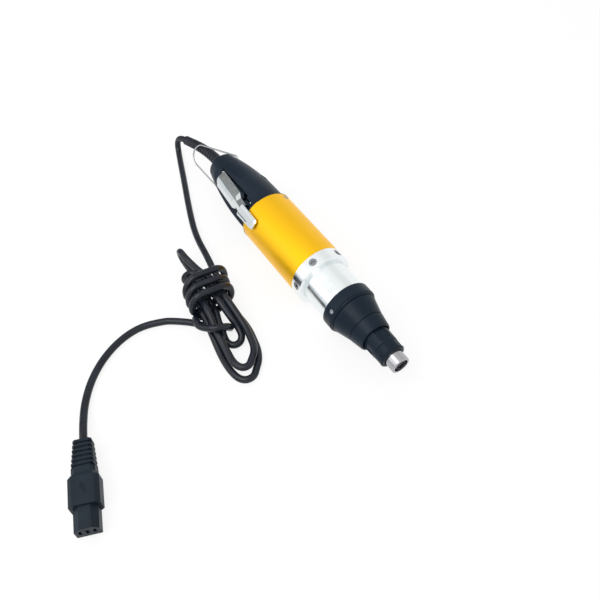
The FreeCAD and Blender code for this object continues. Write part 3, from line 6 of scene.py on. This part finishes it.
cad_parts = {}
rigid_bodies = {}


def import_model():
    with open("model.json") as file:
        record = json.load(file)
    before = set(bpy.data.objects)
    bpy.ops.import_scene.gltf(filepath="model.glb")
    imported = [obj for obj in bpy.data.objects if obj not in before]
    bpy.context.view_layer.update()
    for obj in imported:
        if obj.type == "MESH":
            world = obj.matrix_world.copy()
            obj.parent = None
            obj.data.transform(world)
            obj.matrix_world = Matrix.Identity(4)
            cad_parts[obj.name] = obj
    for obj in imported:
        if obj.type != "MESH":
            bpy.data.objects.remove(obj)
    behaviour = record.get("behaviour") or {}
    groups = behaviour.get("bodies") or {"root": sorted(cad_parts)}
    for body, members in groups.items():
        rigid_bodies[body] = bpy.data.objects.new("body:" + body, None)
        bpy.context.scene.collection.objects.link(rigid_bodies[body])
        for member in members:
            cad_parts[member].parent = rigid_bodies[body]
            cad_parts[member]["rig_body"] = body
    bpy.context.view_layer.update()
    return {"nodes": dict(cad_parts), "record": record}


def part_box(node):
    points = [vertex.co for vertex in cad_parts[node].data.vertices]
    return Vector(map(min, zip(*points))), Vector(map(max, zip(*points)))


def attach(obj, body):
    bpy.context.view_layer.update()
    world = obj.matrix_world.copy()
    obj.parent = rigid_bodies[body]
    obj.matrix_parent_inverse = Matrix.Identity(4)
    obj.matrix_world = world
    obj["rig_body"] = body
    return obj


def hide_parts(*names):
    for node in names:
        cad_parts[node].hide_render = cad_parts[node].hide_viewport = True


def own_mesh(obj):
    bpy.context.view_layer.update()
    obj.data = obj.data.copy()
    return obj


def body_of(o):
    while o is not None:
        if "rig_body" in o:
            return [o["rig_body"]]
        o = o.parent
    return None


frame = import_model()
nodes = frame["nodes"]
slot_of = {row["node"]: row["material_slot"] for row in frame["record"]["subparts"]}

# Height of the tool's axis above the floor
axis_height = (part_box("front_ring")[0].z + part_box("front_ring")[1].z) / 2

# Camera: place, viewing direction, lens for a square picture, and the range that it sees
camera_place = Vector((0.26996, -0.16719, 0.36231))
camera_forward = Vector((-0.499, 0.337, -0.798))
camera_right = Vector((0.560, 0.829, 0.0))
camera_lens = 39.6
sensor_width = 36.0
nearest_seen = 0.01
farthest_seen = 20

# Lamps: name, place, aim, width, height, power, and whether reflections show them
lamps = (
    ("key", (0.1, -0.5, 0.9), (0, -0.03, 0), 0.9, 0.7, 5.0, True),
    ("side", (-0.35, -0.62, 0.3), (0, -0.02, 0.01), 0.5, 0.35, 0.4, True),
    ("fill", (-0.7, 0.3, 0.7), (0, -0.03, 0), 0.8, 0.8, 2.0, False),
)

# Surroundings: their colour, the share of their light that reaches matt surfaces, and two darker parts, each
# with its brightness and the ranges of a direction's X, Y or Z over which it sets in
white = (1, 1, 1)
ambient_share = 0.6
behind_range = (0.05, 0.6)
high_range = (0.25, 0.6)
high_behind_tone = 0.86
rear_range = (-0.84, -0.70)
rear_tone = 0.3

# Floor: half its width, its colour, its glow and the glow's share, and in reflections the tone of its near
# side and the range of Y over which that sets in
floor_reach = 3.0
floor_colour = (0.9, 0.9, 0.9)
floor_glow = 1.03
glow_share = 0.82
near_range = (-0.32, -0.12)
near_tone = (0.56, 0.64, 0.70)

# Materials: the range in which most values of a noise lie
noise_range = (0.35, 0.65)

# Rim at the rear edge of the motor tube: its stand, half thickness, opening at the lever and facets
rim_stand = 0.00018
rim_half = 0.0006
rim_gap = math.radians(70)
rim_steps = 120
rim_sides = 8

# Torque nut: its sizes in metres, and the recesses of its grip, in two rows that alternate round it
nut_thread_length = 0.0076
nut_bore_radius = 0.0067
grip_rear_radius = 0.0094
grip_front_radius = 0.0089
nut_bevel = 0.0008
recess_count = 4
recess_depth = 0.0009
recess_wall = 0.0004
recess_corner = 0.0016
# Half the angle that a recess spans, and the angle of the first one
recess_half = math.radians(26)
recess_turn = math.radians(83.5)
# Each row's rear and front end, as distances back from the nut's front
recess_rows = ((0.0190, 0.0095), (0.0080, 0.0014))
nut_steps = 300
grip_rings = 96

# Cord: its sizes and its route outside the hank, in metres, and the steps and facets of its curve
cord_radius = 0.0024
strand_gap = 0.001
strand_pitch = 2 * cord_radius + strand_gap
cord_steps = 10
cord_facets = 5
cord_exit = Vector((-0.1305, -0.0071, 0.01674))
lead_route = (
    (-0.1373, -0.0090, 0.0158),
    (-0.1407, -0.0107, 0.0096),
    (-0.1373, -0.0125, 0.0031),
    (-0.1252, -0.0172, 0.0024),
    (-0.1049, -0.0248, 0.0024),
    (-0.0734, -0.0370, 0.0024),
    (-0.0464, -0.0462, 0.0042),
)
tail_route = (
    (0.0086, -0.1010, 0.0024),
    (0.0042, -0.1150, 0.0024),
    (0.0060, -0.1300, 0.0024),
    (0.0131, -0.1455, 0.0024),
    (0.0241, -0.1588, 0.0024),
    (0.0376, -0.1686, 0.0032),
    (0.0505, -0.1742, 0.0060),
)
plug_start = Vector((0.0635, -0.1791, 0.0074))
plug_heading = math.radians(-20.5)
# How far the cord runs straight before and after the hank, and into the plug
hank_lead = 4 * cord_radius
plug_lead = 2 * cord_radius

# The hank: its centre and heading, and in spacings of its strands the heights of its layers and wraps
hank_centre = Vector((0.0086, -0.0660, 0.0))
hank_heading = math.radians(-6.0)
strand_low = 1.1
strand_high = 2.05
wrap_middle = 1.6
wrap_top_half = 0.9
# Each wrap's place along and across the hank at its left side, top, right side and underside
wraps = (
    ((-0.6, -2.4), (-1.2, 0.3), (-1.4, 2.75), (-0.45, 0.3)),
    ((0.7, -2.55), (0.2, -0.2), (0.0, 2.45), (0.95, -0.2)),
    ((1.8, -2.6), (1.5, -0.3), (1.3, 2.4), (2.2, -0.4)),
)


def hank_keys():
    """Place and direction of the cord at each key point of its hank."""
    low, high = strand_low, strand_high
    # Each row is a place along the hank, across it and up, in spacings of its strands, and a direction
    rows = [
        # entry and outer loop
        (-3.1, 1.95, 1.15, 1, -0.08, 0),
        (-1.2, 1.9, low, 1, -0.16, 0),
        (2.2, 1.2, low, 1, 0.02, -0.05),
        (6.0, 2.1, 0.45, 1, 0.14, -0.24),
        (8.6, 2.05, 0, 1, -0.12, 0),
        (11.0, 1.05, 0, 0.77, -0.64, 0),
        (12.15, -0.35, 0, 0.08, -1, 0),
        (11.2, -1.6, 0, -0.95, -0.3, 0),
        (8.6, -1.95, 0, -1, 0, 0),
        (6.0, -1.85, 0.35, -1, 0.06, 0.2),
        (2.6, -1.68, low - 0.05, -1, 0.02, 0.12),
        (-0.9, -1.45, low, -1, 0.2, -0.12),
        # long fold at the rear
        (-3.3, -0.35, 0.3, -1, 0.1, -0.1),
        (-6.2, -0.45, 0.2, -1, -0.08, 0),
        (-7.1, -0.6, 1.1, 0, -0.1, 1),
        (-6.2, -0.6, 2.0, 1, 0.12, 0),
        (-3.4, 0.1, 1.75, 1, 0.28, 0),
        (-0.8, 0.95, high, 1, 0.16, 0.05),
        # inner loop
        (2.2, 1.25, high + 0.1, 1, 0.12, -0.05),
        (5.6, 1.7, 1.4, 1, 0.12, -0.25),
        (8.6, 1.65, 0.95, 1, -0.12, -0.05),
        (10.3, 0.85, 0.85, 0.72, -0.7, -0.05),
        (11.05, -0.25, 0.75, 0, -1, -0.03),
        (10.25, -1.15, 0.75, -0.95, -0.3, 0),
        (8.6, -1.3, 0.75, -1, 0, 0.05),
        (6.0, -1.3, 1.15, -1, 0.02, 0.2),
        (2.6, -1.2, high, -1, 0, 0.05),
        (-0.8, -1.45, high, -1, -0.05, 0),
        # short fold at the rear
        (-2.15, -1.8, 1.95, -1, -0.1, -0.05),
        (-2.95, -1.05, 1.9, 0, 1, 0),
        (-2.15, -0.3, 1.95, 1, 0.12, 0.1),
        # small loop
        (-0.8, 0.05, high + 0.05, 1, 0.2, 0),
        (2.2, 0.4, high + 0.1, 1, 0.14, -0.1),
        (4.6, 0.8, 1.5, 1, 0.2, -0.35),
        (6.5, 1.15, 0.5, 1, 0, -0.3),
        (7.5, 0.2, 0.05, 0, -1, -0.05),
        (6.5, -0.7, 0.15, -1, 0, 0.15),
        (5.0, -0.6, 0.9, -1, 0.02, 0.25),
        (2.4, -0.3, low + 0.05, -1, -0.06, 0),
        (0.3, -0.45, low, -1, -0.05, -0.15),
        # start of the wraps
        (-2.0, -1.3, 0.1, -0.05, -1, 0.05),
    ]
    for left, top, right, under in wraps:
        rows += [
            (*left, wrap_middle, -0.1, 0, 1),
            (top[0], top[1] - wrap_top_half, 2 * wrap_middle, -0.08, 1, 0.05),
            (top[0], top[1] + wrap_top_half, 2 * wrap_middle, -0.08, 1, -0.05),
            (*right, wrap_middle, 0.15, 0, -1),
            (*under, 0, 0.2, -1, 0),
        ]
    # loose last turn, tucked round the near strands, and the way out
    rows += [
        (3.1, -2.8, 1.2, 0.8, -0.15, 0.5),
        (4.4, -2.7, 1.5, 0.8, 0.45, 0.3),
        (5.75, -1.3, 2.05, 0.3, 1, 0),
        (5.85, 0.2, 1.3, -0.35, 0.3, -1),
        (4.1, -1.0, 0, -0.4, -1, 0),
        (2.0, -3.6, 0, -0.55, -0.83, 0),
    ]
    turn = Matrix.Rotation(hank_heading, 3, "Z")
    keys = []
    for u, v, z, du, dv, dz in rows:
        place = hank_centre + turn @ (Vector((u, v, z)) * strand_pitch)
        keys.append((place + Vector((0, 0, cord_radius)), turn @ Vector((du, dv, dz)).normalized()))
    return keys


def handles(keys):
    """Control points on the tangents at the key points, two between each pair."""
    parallel = 1e-5
    points = []
    for (start, heading), (end, leaving) in zip(keys, keys[1:]):
        chord = end - start
        both = chord.dot(heading + leaving)
        opening = 2 * (1 - heading.dot(leaving))
        if opening < parallel:
            reach = chord.dot(chord) / (4 * chord.dot(leaving))
        else:
            reach = (math.sqrt(both * both + opening * chord.dot(chord)) - both) / opening
        points += [start + heading * reach, end - leaving * reach]
    return points


def cord_points():
    """The control points of the whole lead, from the strain relief to the plug."""
    keys = hank_keys()
    entry, entering = keys[0]
    leave, leaving = keys[-1]
    plug_way = Vector((math.cos(plug_heading), math.sin(plug_heading), 0))
    points = [cord_exit] + [Vector(p) for p in lead_route]
    points.append(entry - entering * hank_lead)
    points += handles(keys)
    points.append(leave + leaving * hank_lead)
    points += [Vector(p) for p in tail_route]
    points += [plug_start - plug_way * plug_lead, plug_start]
    return points


def linked(name, data):
    """A new object with this data, in the scene."""
    piece = bpy.data.objects.new(name, data)
    bpy.context.scene.collection.objects.link(piece)
    return piece


def make_cord():
    """The whole lead as one smooth open curve with a round section."""
    data = bpy.data.curves.new("cord", "CURVE")
    data.dimensions = "3D"
    data.resolution_u = cord_steps
    data.bevel_depth = cord_radius
    data.bevel_resolution = cord_facets
    data.use_fill_caps = True
    points = cord_points()
    spline = data.splines.new("NURBS")
    spline.points.add(len(points) - 1)
    for spot, place in zip(spline.points, points):
        spot.co = (*place, 1)
    spline.order_u = 3
    spline.use_endpoint_u = True
    return linked("cord", data)


def round_axis(x, radius, angle):
    """A point at a place along the tool's axis, a distance from it and an angle round it."""
    return (x, radius * math.cos(angle), axis_height + radius * math.sin(angle))


def smooth_piece(name, verts, faces):
    mesh = bpy.data.meshes.new(name)
    mesh.from_pydata(verts, [], faces)
    mesh.shade_smooth()
    return linked(name, mesh)


def seam_rim():
    """A thin rim round the rear edge of the motor tube, open where the start lever crosses it."""
    tube_low, tube_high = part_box("motor_tube")
    lever_low, lever_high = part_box("start_lever")
    lever = (lever_low + lever_high) / 2
    opening = math.atan2(lever.z - axis_height, lever.y)
    middle = (tube_high.y - tube_low.y) / 2 + rim_stand - rim_half
    start, sweep = opening + rim_gap / 2, math.tau - rim_gap
    verts, faces = [], []
    for i in range(rim_steps + 1):
        turn = start + sweep * i / rim_steps
        for j in range(rim_sides):
            side = math.tau * j / rim_sides
            radius = middle + rim_half * math.cos(side)
            verts.append(round_axis(tube_low.x + rim_half * math.sin(side), radius, turn))
    for i in range(rim_steps):
        for j in range(rim_sides):
            a, b = i * rim_sides + j, i * rim_sides + (j + 1) % rim_sides
            faces.append((a + rim_sides, b + rim_sides, b, a))
    faces.append(tuple(reversed(range(rim_sides))))
    faces.append(tuple(rim_steps * rim_sides + j for j in range(rim_sides)))
    return smooth_piece("seam_rim", verts, faces)


def recess_at(along, angle, radius):
    """Depth of the grip's recesses at a distance back from the nut's front and an angle round it."""
    deepest = 0.0
    for row, (rear, front) in enumerate(recess_rows):
        step = math.tau / recess_count
        aside = (angle - recess_turn - row * step / 2 + step / 2) % step - step / 2
        across = max(abs(aside * radius) - recess_half * radius + recess_corner, 0)
        lengthwise = max(abs(along - (rear + front) / 2) - (rear - front) / 2 + recess_corner, 0)
        inside = recess_corner - math.hypot(across, lengthwise)
        share = min(max(inside / recess_wall, 0), 1)
        deepest = max(deepest, recess_depth * share * share * (3 - 2 * share))
    return deepest


def grip_nut():
    """The torque nut as a turned ring whose grip has two alternating rows of rounded recesses."""
    nut_low, nut_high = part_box("torque_nut")
    grip_rear, grip_front = nut_low.x + nut_thread_length, nut_high.x - nut_bevel
    thread_radius = (nut_high.z - nut_low.z) / 2
    rings = [
        (nut_low.x, nut_bore_radius),
        (nut_low.x, thread_radius),
        (grip_rear, thread_radius),
    ]
    grip_first = len(rings)
    grip_last = grip_first + grip_rings
    for i in range(grip_rings + 1):
        share = i / grip_rings
        radius = grip_rear_radius + (grip_front_radius - grip_rear_radius) * share
        rings.append((grip_rear + (grip_front - grip_rear) * share, radius))
    rings += [(nut_high.x, grip_front_radius - nut_bevel), (nut_high.x, nut_bore_radius)]
    verts, faces = [], []
    for i, (x, radius) in enumerate(rings):
        on_grip = grip_first <= i <= grip_last
        for j in range(nut_steps):
            angle = math.tau * j / nut_steps
            sunk = recess_at(nut_high.x - x, angle, radius) if on_grip else 0.0
            verts.append(round_axis(x, radius - sunk, angle))
    for i in range(len(rings)):
        for j in range(nut_steps):
            a, b = i * nut_steps, (i + 1) % len(rings) * nut_steps
            k = (j + 1) % nut_steps
            faces.append((a + k, b + k, b + j, a + j))
    nut = smooth_piece("torque_nut_grip", verts, faces)
    for edge in nut.data.edges:
        first, second = (v // nut_steps for v in edge.vertices)
        edge.use_edge_sharp = first == second and not grip_first < first < grip_last
    return nut


def squeezed(name):
    """A spring as a piece of its own: a copy with its own mesh on the CAD spring's body, in place of the
    hidden CAD spring.
    """
    node = nodes[name]
    coil = linked(name + "_coil", node.data.copy())
    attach(coil, body_of(node)[0])
    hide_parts(name)
    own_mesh(coil)


def shaded(colour, factor):
    return tuple(part * factor for part in colour)


class Nodes:
    """A small helper that adds shader nodes to a material or world and links their sockets."""

    def __init__(self, owner):
        owner.use_nodes = True
        self.owner = owner
        self.tree = owner.node_tree

    def add(self, kind, settings=None, **inputs):
        """A new node with these settings and inputs; a blank in an input's name is written as _."""
        node = self.tree.nodes.new(kind)
        for key, value in (settings or {}).items():
            setattr(node, key, value)
        self.feed_all(node, inputs)
        return node

    def feed_all(self, node, inputs):
        for key, value in inputs.items():
            self.feed(node.inputs[key.replace("_", " ")], value)

    def feed(self, socket, value):
        if isinstance(value, bpy.types.NodeSocket):
            self.tree.links.new(value, socket)
        else:
            socket.default_value = value

    def axes(self, coordinates):
        """The parts of these texture coordinates along X, Y and Z."""
        where = self.add("ShaderNodeTexCoord").outputs[coordinates]
        return self.add("ShaderNodeSeparateXYZ", Vector=where).outputs

    def noise(self, scale, detail, stretch=(1, 1, 1)):
        """A noise in the piece's own coordinates, measured from the tool's axis and stretched."""
        where = self.add("ShaderNodeTexCoord").outputs["Object"]
        shift = (0, 0, -axis_height * stretch[2])
        place = self.add("ShaderNodeMapping", Vector=where, Location=shift, Scale=stretch).outputs["Vector"]
        return self.add("ShaderNodeTexNoise", Vector=place, Scale=scale, Detail=detail).outputs["Fac"]

    def mapped(self, value, low, high, limits, curve):
        """A value that goes from low to high as another goes from limit to limit."""
        ends = {"From_Min": limits[0], "From_Max": limits[1], "To_Min": low, "To_Max": high}
        node = self.add("ShaderNodeMapRange", {"interpolation_type": curve}, Value=value, **ends)
        return node.outputs["Result"]

    def between(self, value, low, high, limits=noise_range):
        """As mapped, at an even rate."""
        return self.mapped(value, low, high, limits, "LINEAR")

    def eased(self, value, low, high, limits=(0.0, 1.0)):
        """As mapped, with a gentle start and end."""
        return self.mapped(value, low, high, limits, "SMOOTHSTEP")

    def combined(self, operation, first, second):
        node = self.add("ShaderNodeMath", {"operation": operation})
        self.feed(node.inputs[0], first)
        self.feed(node.inputs[1], second)
        return node.outputs[0]

    def product(self, first, second):
        return self.combined("MULTIPLY", first, second)

    def rays(self, *kinds):
        """One for rays of these kinds, else zero."""
        path = self.add("ShaderNodeLightPath")
        value = path.outputs[kinds[0]]
        for kind in kinds[1:]:
            value = self.combined("MAXIMUM", value, path.outputs[kind])
        return value

    def blend(self, factor, first, second):
        """A colour between two, each of which is a tuple or another node's output."""
        node = self.add("ShaderNodeMix", {"data_type": "RGBA"}, Factor=factor)
        sockets = [socket for socket in node.inputs if socket.type == "RGBA"]
        for socket, colour in zip(sockets, (first, second)):
            self.feed(socket, (*colour, 1) if isinstance(colour, tuple) else colour)
        return next(socket for socket in node.outputs if socket.type == "RGBA")

    def mottled(self, value, colour, darkest, lightest, limits=noise_range):
        """A colour that goes from one shade of itself to another with a noise."""
        factor = self.between(value, 0.0, 1.0, limits)
        return self.blend(factor, shaded(colour, darkest), shaded(colour, lightest))

    def bump(self, height, depth, strength, under=None):
        """The surface's direction, tilted by the slopes of a height on top of another direction."""
        node = self.add("ShaderNodeBump", Height=height, Strength=strength, Distance=depth)
        if under is not None:
            self.feed(node.inputs["Normal"], under)
        return node.outputs["Normal"]

    def rounded(self, radius):
        """The surface's direction with its edges softened over a radius."""
        return self.add("ShaderNodeBevel", {"samples": 4}, Radius=radius).outputs["Normal"]

    def openness(self, reach):
        """One on open faces, less in the piece's own grooves and inner corners, as a mask for painted shade.
        """
        settings = {"samples": 8, "only_local": True}
        return self.add("ShaderNodeAmbientOcclusion", settings, Distance=reach).outputs["AO"]

    def finish(self, **inputs):
        """The material, with these inputs of its standard shader."""
        self.feed_all(self.tree.nodes["Principled BSDF"], inputs)
        return self.owner


def plastic(n, colour, roughness, sheen=0.35, edge=0.00035, grain=0.00035, depth=0.000012):
    """Moulded plastic with a fine spark-eroded grain, faint clouding and soft edges."""
    cloud = n.noise(scale=60.0, detail=4.0)
    fine = n.noise(scale=1 / grain, detail=2.0)
    smear = n.noise(scale=180.0, detail=5.0, stretch=(0.35, 1, 1))
    return n.finish(
        Base_Color=n.mottled(cloud, colour, darkest=0.85, lightest=1.2),
        Roughness=n.between(smear, low=roughness - 0.05, high=roughness + 0.06),
        Specular_IOR_Level=sheen,
        Normal=n.bump(fine, depth, strength=0.5, under=n.rounded(edge)),
    )


def brushed(n, colour, roughness, stretch, lines=900.0, depth=0.000003, coat=0.0):
    """Metal with fine lines along the direction in which its coordinates are least stretched."""
    bands = lines / 12
    line = n.noise(scale=lines, detail=2.0, stretch=stretch)
    broad = n.noise(scale=bands, detail=3.0, stretch=stretch)
    cloud = n.noise(scale=45.0, detail=3.0)
    base = n.mottled(line, colour, darkest=0.94, lightest=1.0, limits=(0.3, 0.7))
    dull = shaded(colour, 0.92)
    tangent = n.add("ShaderNodeTangent", {"direction_type": "RADIAL", "axis": "X"}).outputs["Tangent"]
    return n.finish(
        Base_Color=n.blend(n.between(cloud, low=0.0, high=0.3), base, dull),
        Metallic=1.0,
        Roughness=n.between(broad, low=roughness - 0.03, high=roughness + 0.05),
        Anisotropic=0.3,
        Coat_Weight=coat,
        Coat_Roughness=0.12,
        Tangent=tangent,
        Normal=n.bump(line, depth, strength=0.4, under=n.rounded(radius=0.0002)),
    )


def polished(n, colour, roughness):
    """Plated or polished metal with faint smudges and hairline scratches, and painted shade in its grooves
    and inner corners.
    """
    smudge = n.noise(scale=220.0, detail=5.0)
    hair = n.noise(scale=2600.0, detail=1.0, stretch=(0.08, 1, 1))
    # Painted shade: the less open a face is to its surroundings, the nearer its colour goes to a deep shade
    # of itself, so grooves and inner corners are darkened
    unshaded_share = n.between(n.openness(reach=0.0012), low=0.0, high=1.0, limits=(0.55, 0.92))
    groove_painted_shade = shaded(colour, 0.12)
    return n.finish(
        Base_Color=n.blend(unshaded_share, groove_painted_shade, n.mottled(smudge, colour, darkest=0.92, lightest=1.0)),
        Metallic=1.0,
        Roughness=n.between(smudge, low=roughness, high=roughness + 0.07),
        Normal=n.bump(hair, depth=0.0000015, strength=0.4, under=n.rounded(radius=0.0004)),
    )


def rubber(n, colour, roughness):
    """Extruded or moulded rubber: satin, with a dusty bloom and a fine skin."""
    bloom = n.noise(scale=140.0, detail=5.0)
    skin = n.noise(scale=2200.0, detail=2.0)
    return n.finish(
        Base_Color=n.mottled(bloom, colour, darkest=0.8, lightest=1.35),
        Roughness=n.between(bloom, low=roughness - 0.04, high=roughness + 0.08),
        Specular_IOR_Level=0.3,
        Normal=n.bump(skin, depth=0.000002, strength=0.5),
    )


def dull_metal(n, colour, roughness, speckle=1500.0):
    """Sintered, oxidised or wound metal with a speckled surface."""
    dots = n.noise(scale=speckle, detail=4.0)
    patch = n.noise(scale=120.0, detail=3.0)
    return n.finish(
        Base_Color=n.mottled(dots, colour, darkest=0.75, lightest=1.15),
        Metallic=1.0,
        Roughness=n.between(patch, low=roughness - 0.08, high=roughness + 0.1),
        Normal=n.bump(dots, depth=0.000006, strength=0.5, under=n.rounded(radius=0.0002)),
    )


# Each slot's kind of material, colour, roughness and further values
lengthways = {"stretch": (0.03, 1, 1)}
turned = {"stretch": (1, 0.03, 0.03)}
finishes = {
    "black_plastic": (plastic, (0.008, 0.016, 0.028), 0.34, {"sheen": 0.13}),
    "nut_plastic": (plastic, (0.008, 0.016, 0.028), 0.36, {"sheen": 0.13, "edge": 0.00012}),
    "gold_aluminium": (
        brushed, (1.0, 0.57, 0.008), 0.46, {**lengthways, "lines": 1400.0, "depth": 0.0000012, "coat": 0.2},
    ),
    "turned_aluminium": (brushed, (0.90, 0.94, 0.95), 0.19, {**turned, "lines": 1800.0}),
    "chrome_lever": (polished, (0.72, 0.76, 0.77), 0.05, {}),
    "bright_steel": (brushed, (0.44, 0.44, 0.46), 0.18, {**turned, "lines": 2200.0}),
    "black_screws": (dull_metal, (0.27, 0.28, 0.30), 0.36, {}),
    "gear_steel": (brushed, (0.50, 0.50, 0.52), 0.3, {**turned, "lines": 1800.0}),
    "motor_steel": (brushed, (0.56, 0.56, 0.58), 0.3, lengthways),
    "magnet": (dull_metal, (0.10, 0.10, 0.11), 0.6, {}),
    "copper": (dull_metal, (0.72, 0.33, 0.16), 0.35, {"speckle": 900.0}),
    "carbon": (dull_metal, (0.05, 0.05, 0.05), 0.7, {}),
    "bronze": (dull_metal, (0.62, 0.42, 0.20), 0.45, {}),
    "moulding": (plastic, (0.02, 0.02, 0.024), 0.45, {}),
    "button_plastic": (plastic, (0.010, 0.012, 0.016), 0.45, {}),
    "spring_steel": (brushed, (0.45, 0.45, 0.46), 0.32, lengthways),
    "cord_rubber": (rubber, (0.009, 0.012, 0.019), 0.22, {}),
    "plug_plastic": (
        plastic, (0.010, 0.017, 0.026), 0.42, {"sheen": 0.15, "grain": 0.0003, "depth": 0.00001},
    ),
    "contact_brass": (brushed, (0.55, 0.38, 0.15), 0.3, lengthways),
}


def make_floor():
    """A white floor that shows the shadow and, in reflections, darkens towards the near horizon."""
    far = floor_reach
    mesh = bpy.data.meshes.new("floor")
    mesh.from_pydata([(-far, -far, 0), (far, -far, 0), (far, far, 0), (-far, far, 0)], [], [(0, 1, 2, 3)])
    floor = linked("floor", mesh)
    n = Nodes(bpy.data.materials.new("floor"))
    n.tree.nodes.remove(n.tree.nodes["Principled BSDF"])
    near = n.eased(n.axes("Object")["Y"], 1.0, 0.0, near_range)
    tone = n.blend(n.product(near, n.rays("Is Glossy Ray")), white, near_tone)
    matte = n.add("ShaderNodeBsdfDiffuse", Color=(*floor_colour, 1))
    glow = n.add("ShaderNodeEmission", Color=tone, Strength=floor_glow)
    seen = n.rays("Is Camera Ray", "Is Glossy Ray")
    mix = n.add("ShaderNodeMixShader", Fac=n.eased(seen, 0.0, glow_share))
    n.feed(mix.inputs[1], matte.outputs["BSDF"])
    n.feed(mix.inputs[2], glow.outputs["Emission"])
    n.feed(n.tree.nodes["Material Output"].inputs["Surface"], mix.outputs["Shader"])
    mesh.materials.append(n.owner)


def make_world():
    """White all round, a little greyer high up behind the tool; in reflections dark past its rear."""
    world = bpy.data.worlds.new("studio")
    bpy.context.scene.world = world
    n = Nodes(world)
    way = n.axes("Generated")
    behind = n.eased(way["Y"], 0.0, 1.0, behind_range)
    high_behind = n.product(behind, n.eased(way["Z"], 0.0, 1.0, high_range))
    past_rear = n.product(n.eased(way["X"], 1.0, 0.0, rear_range), n.rays("Is Glossy Ray"))
    tone = n.product(n.eased(high_behind, 1.0, high_behind_tone), n.eased(past_rear, 1.0, rear_tone))
    ambient = n.eased(n.rays("Is Diffuse Ray"), 1.0, ambient_share)
    background = n.tree.nodes["Background"]
    n.feed(background.inputs["Color"], (*white, 1))
    n.feed(background.inputs["Strength"], n.product(tone, ambient))


def soft_light(name, place, aim, width, height, power, mirrored):
    data = bpy.data.lights.new(name, "AREA")
    data.shape = "RECTANGLE"
    data.size = width
    data.size_y = height
    data.energy = power
    light = linked(name, data)
    light.location = place
    light.rotation_mode = "QUATERNION"
    light.rotation_quaternion = (Vector(aim) - Vector(place)).to_track_quat("-Z", "Y")
    light.visible_glossy = mirrored


def make_camera():
    data = bpy.data.cameras.new("camera")
    data.lens = camera_lens
    data.sensor_width = sensor_width
    data.clip_start = nearest_seen
    data.clip_end = farthest_seen
    camera = linked("camera", data)
    back = -camera_forward.normalized()
    up = back.cross(camera_right.normalized()).normalized()
    right = up.cross(back)
    turn = Matrix((right, up, back)).transposed().to_4x4()
    camera.matrix_world = Matrix.Translation(camera_place) @ turn
    bpy.context.scene.camera = camera


# Materials of the CAD pieces
surfaces = {}
for slot, (kind, colour, roughness, further) in finishes.items():
    surfaces[slot] = kind(Nodes(bpy.data.materials.new(slot)), colour, roughness, **further)
for name, piece in nodes.items():
    piece.data.materials.clear()
    piece.data.materials.append(surfaces[slot_of[name]])

# The scene's own pieces
nut = grip_nut()
nut.data.materials.append(surfaces[slot_of["torque_nut"]])
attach(nut, "torque_nut")
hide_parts("torque_nut")

rim = seam_rim()
rim.data.materials.append(surfaces["black_plastic"])
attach(rim, "housing")

cord = make_cord()
cord.data.materials.append(surfaces["cord_rubber"])
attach(cord, "housing")
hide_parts("cord_lead", "cord_hank", "cord_tail")

for name, joint in (("torque_spring", "nut_travel"), ("sleeve_spring", "sleeve_slide")):
    squeezed(name)
squeezed("lever_spring")

# Floor, light and camera
make_floor()
make_world()
make_camera()
for lamp in lamps:
    soft_light(*lamp)
bpy.context.scene.view_settings.view_transform = "Standard"
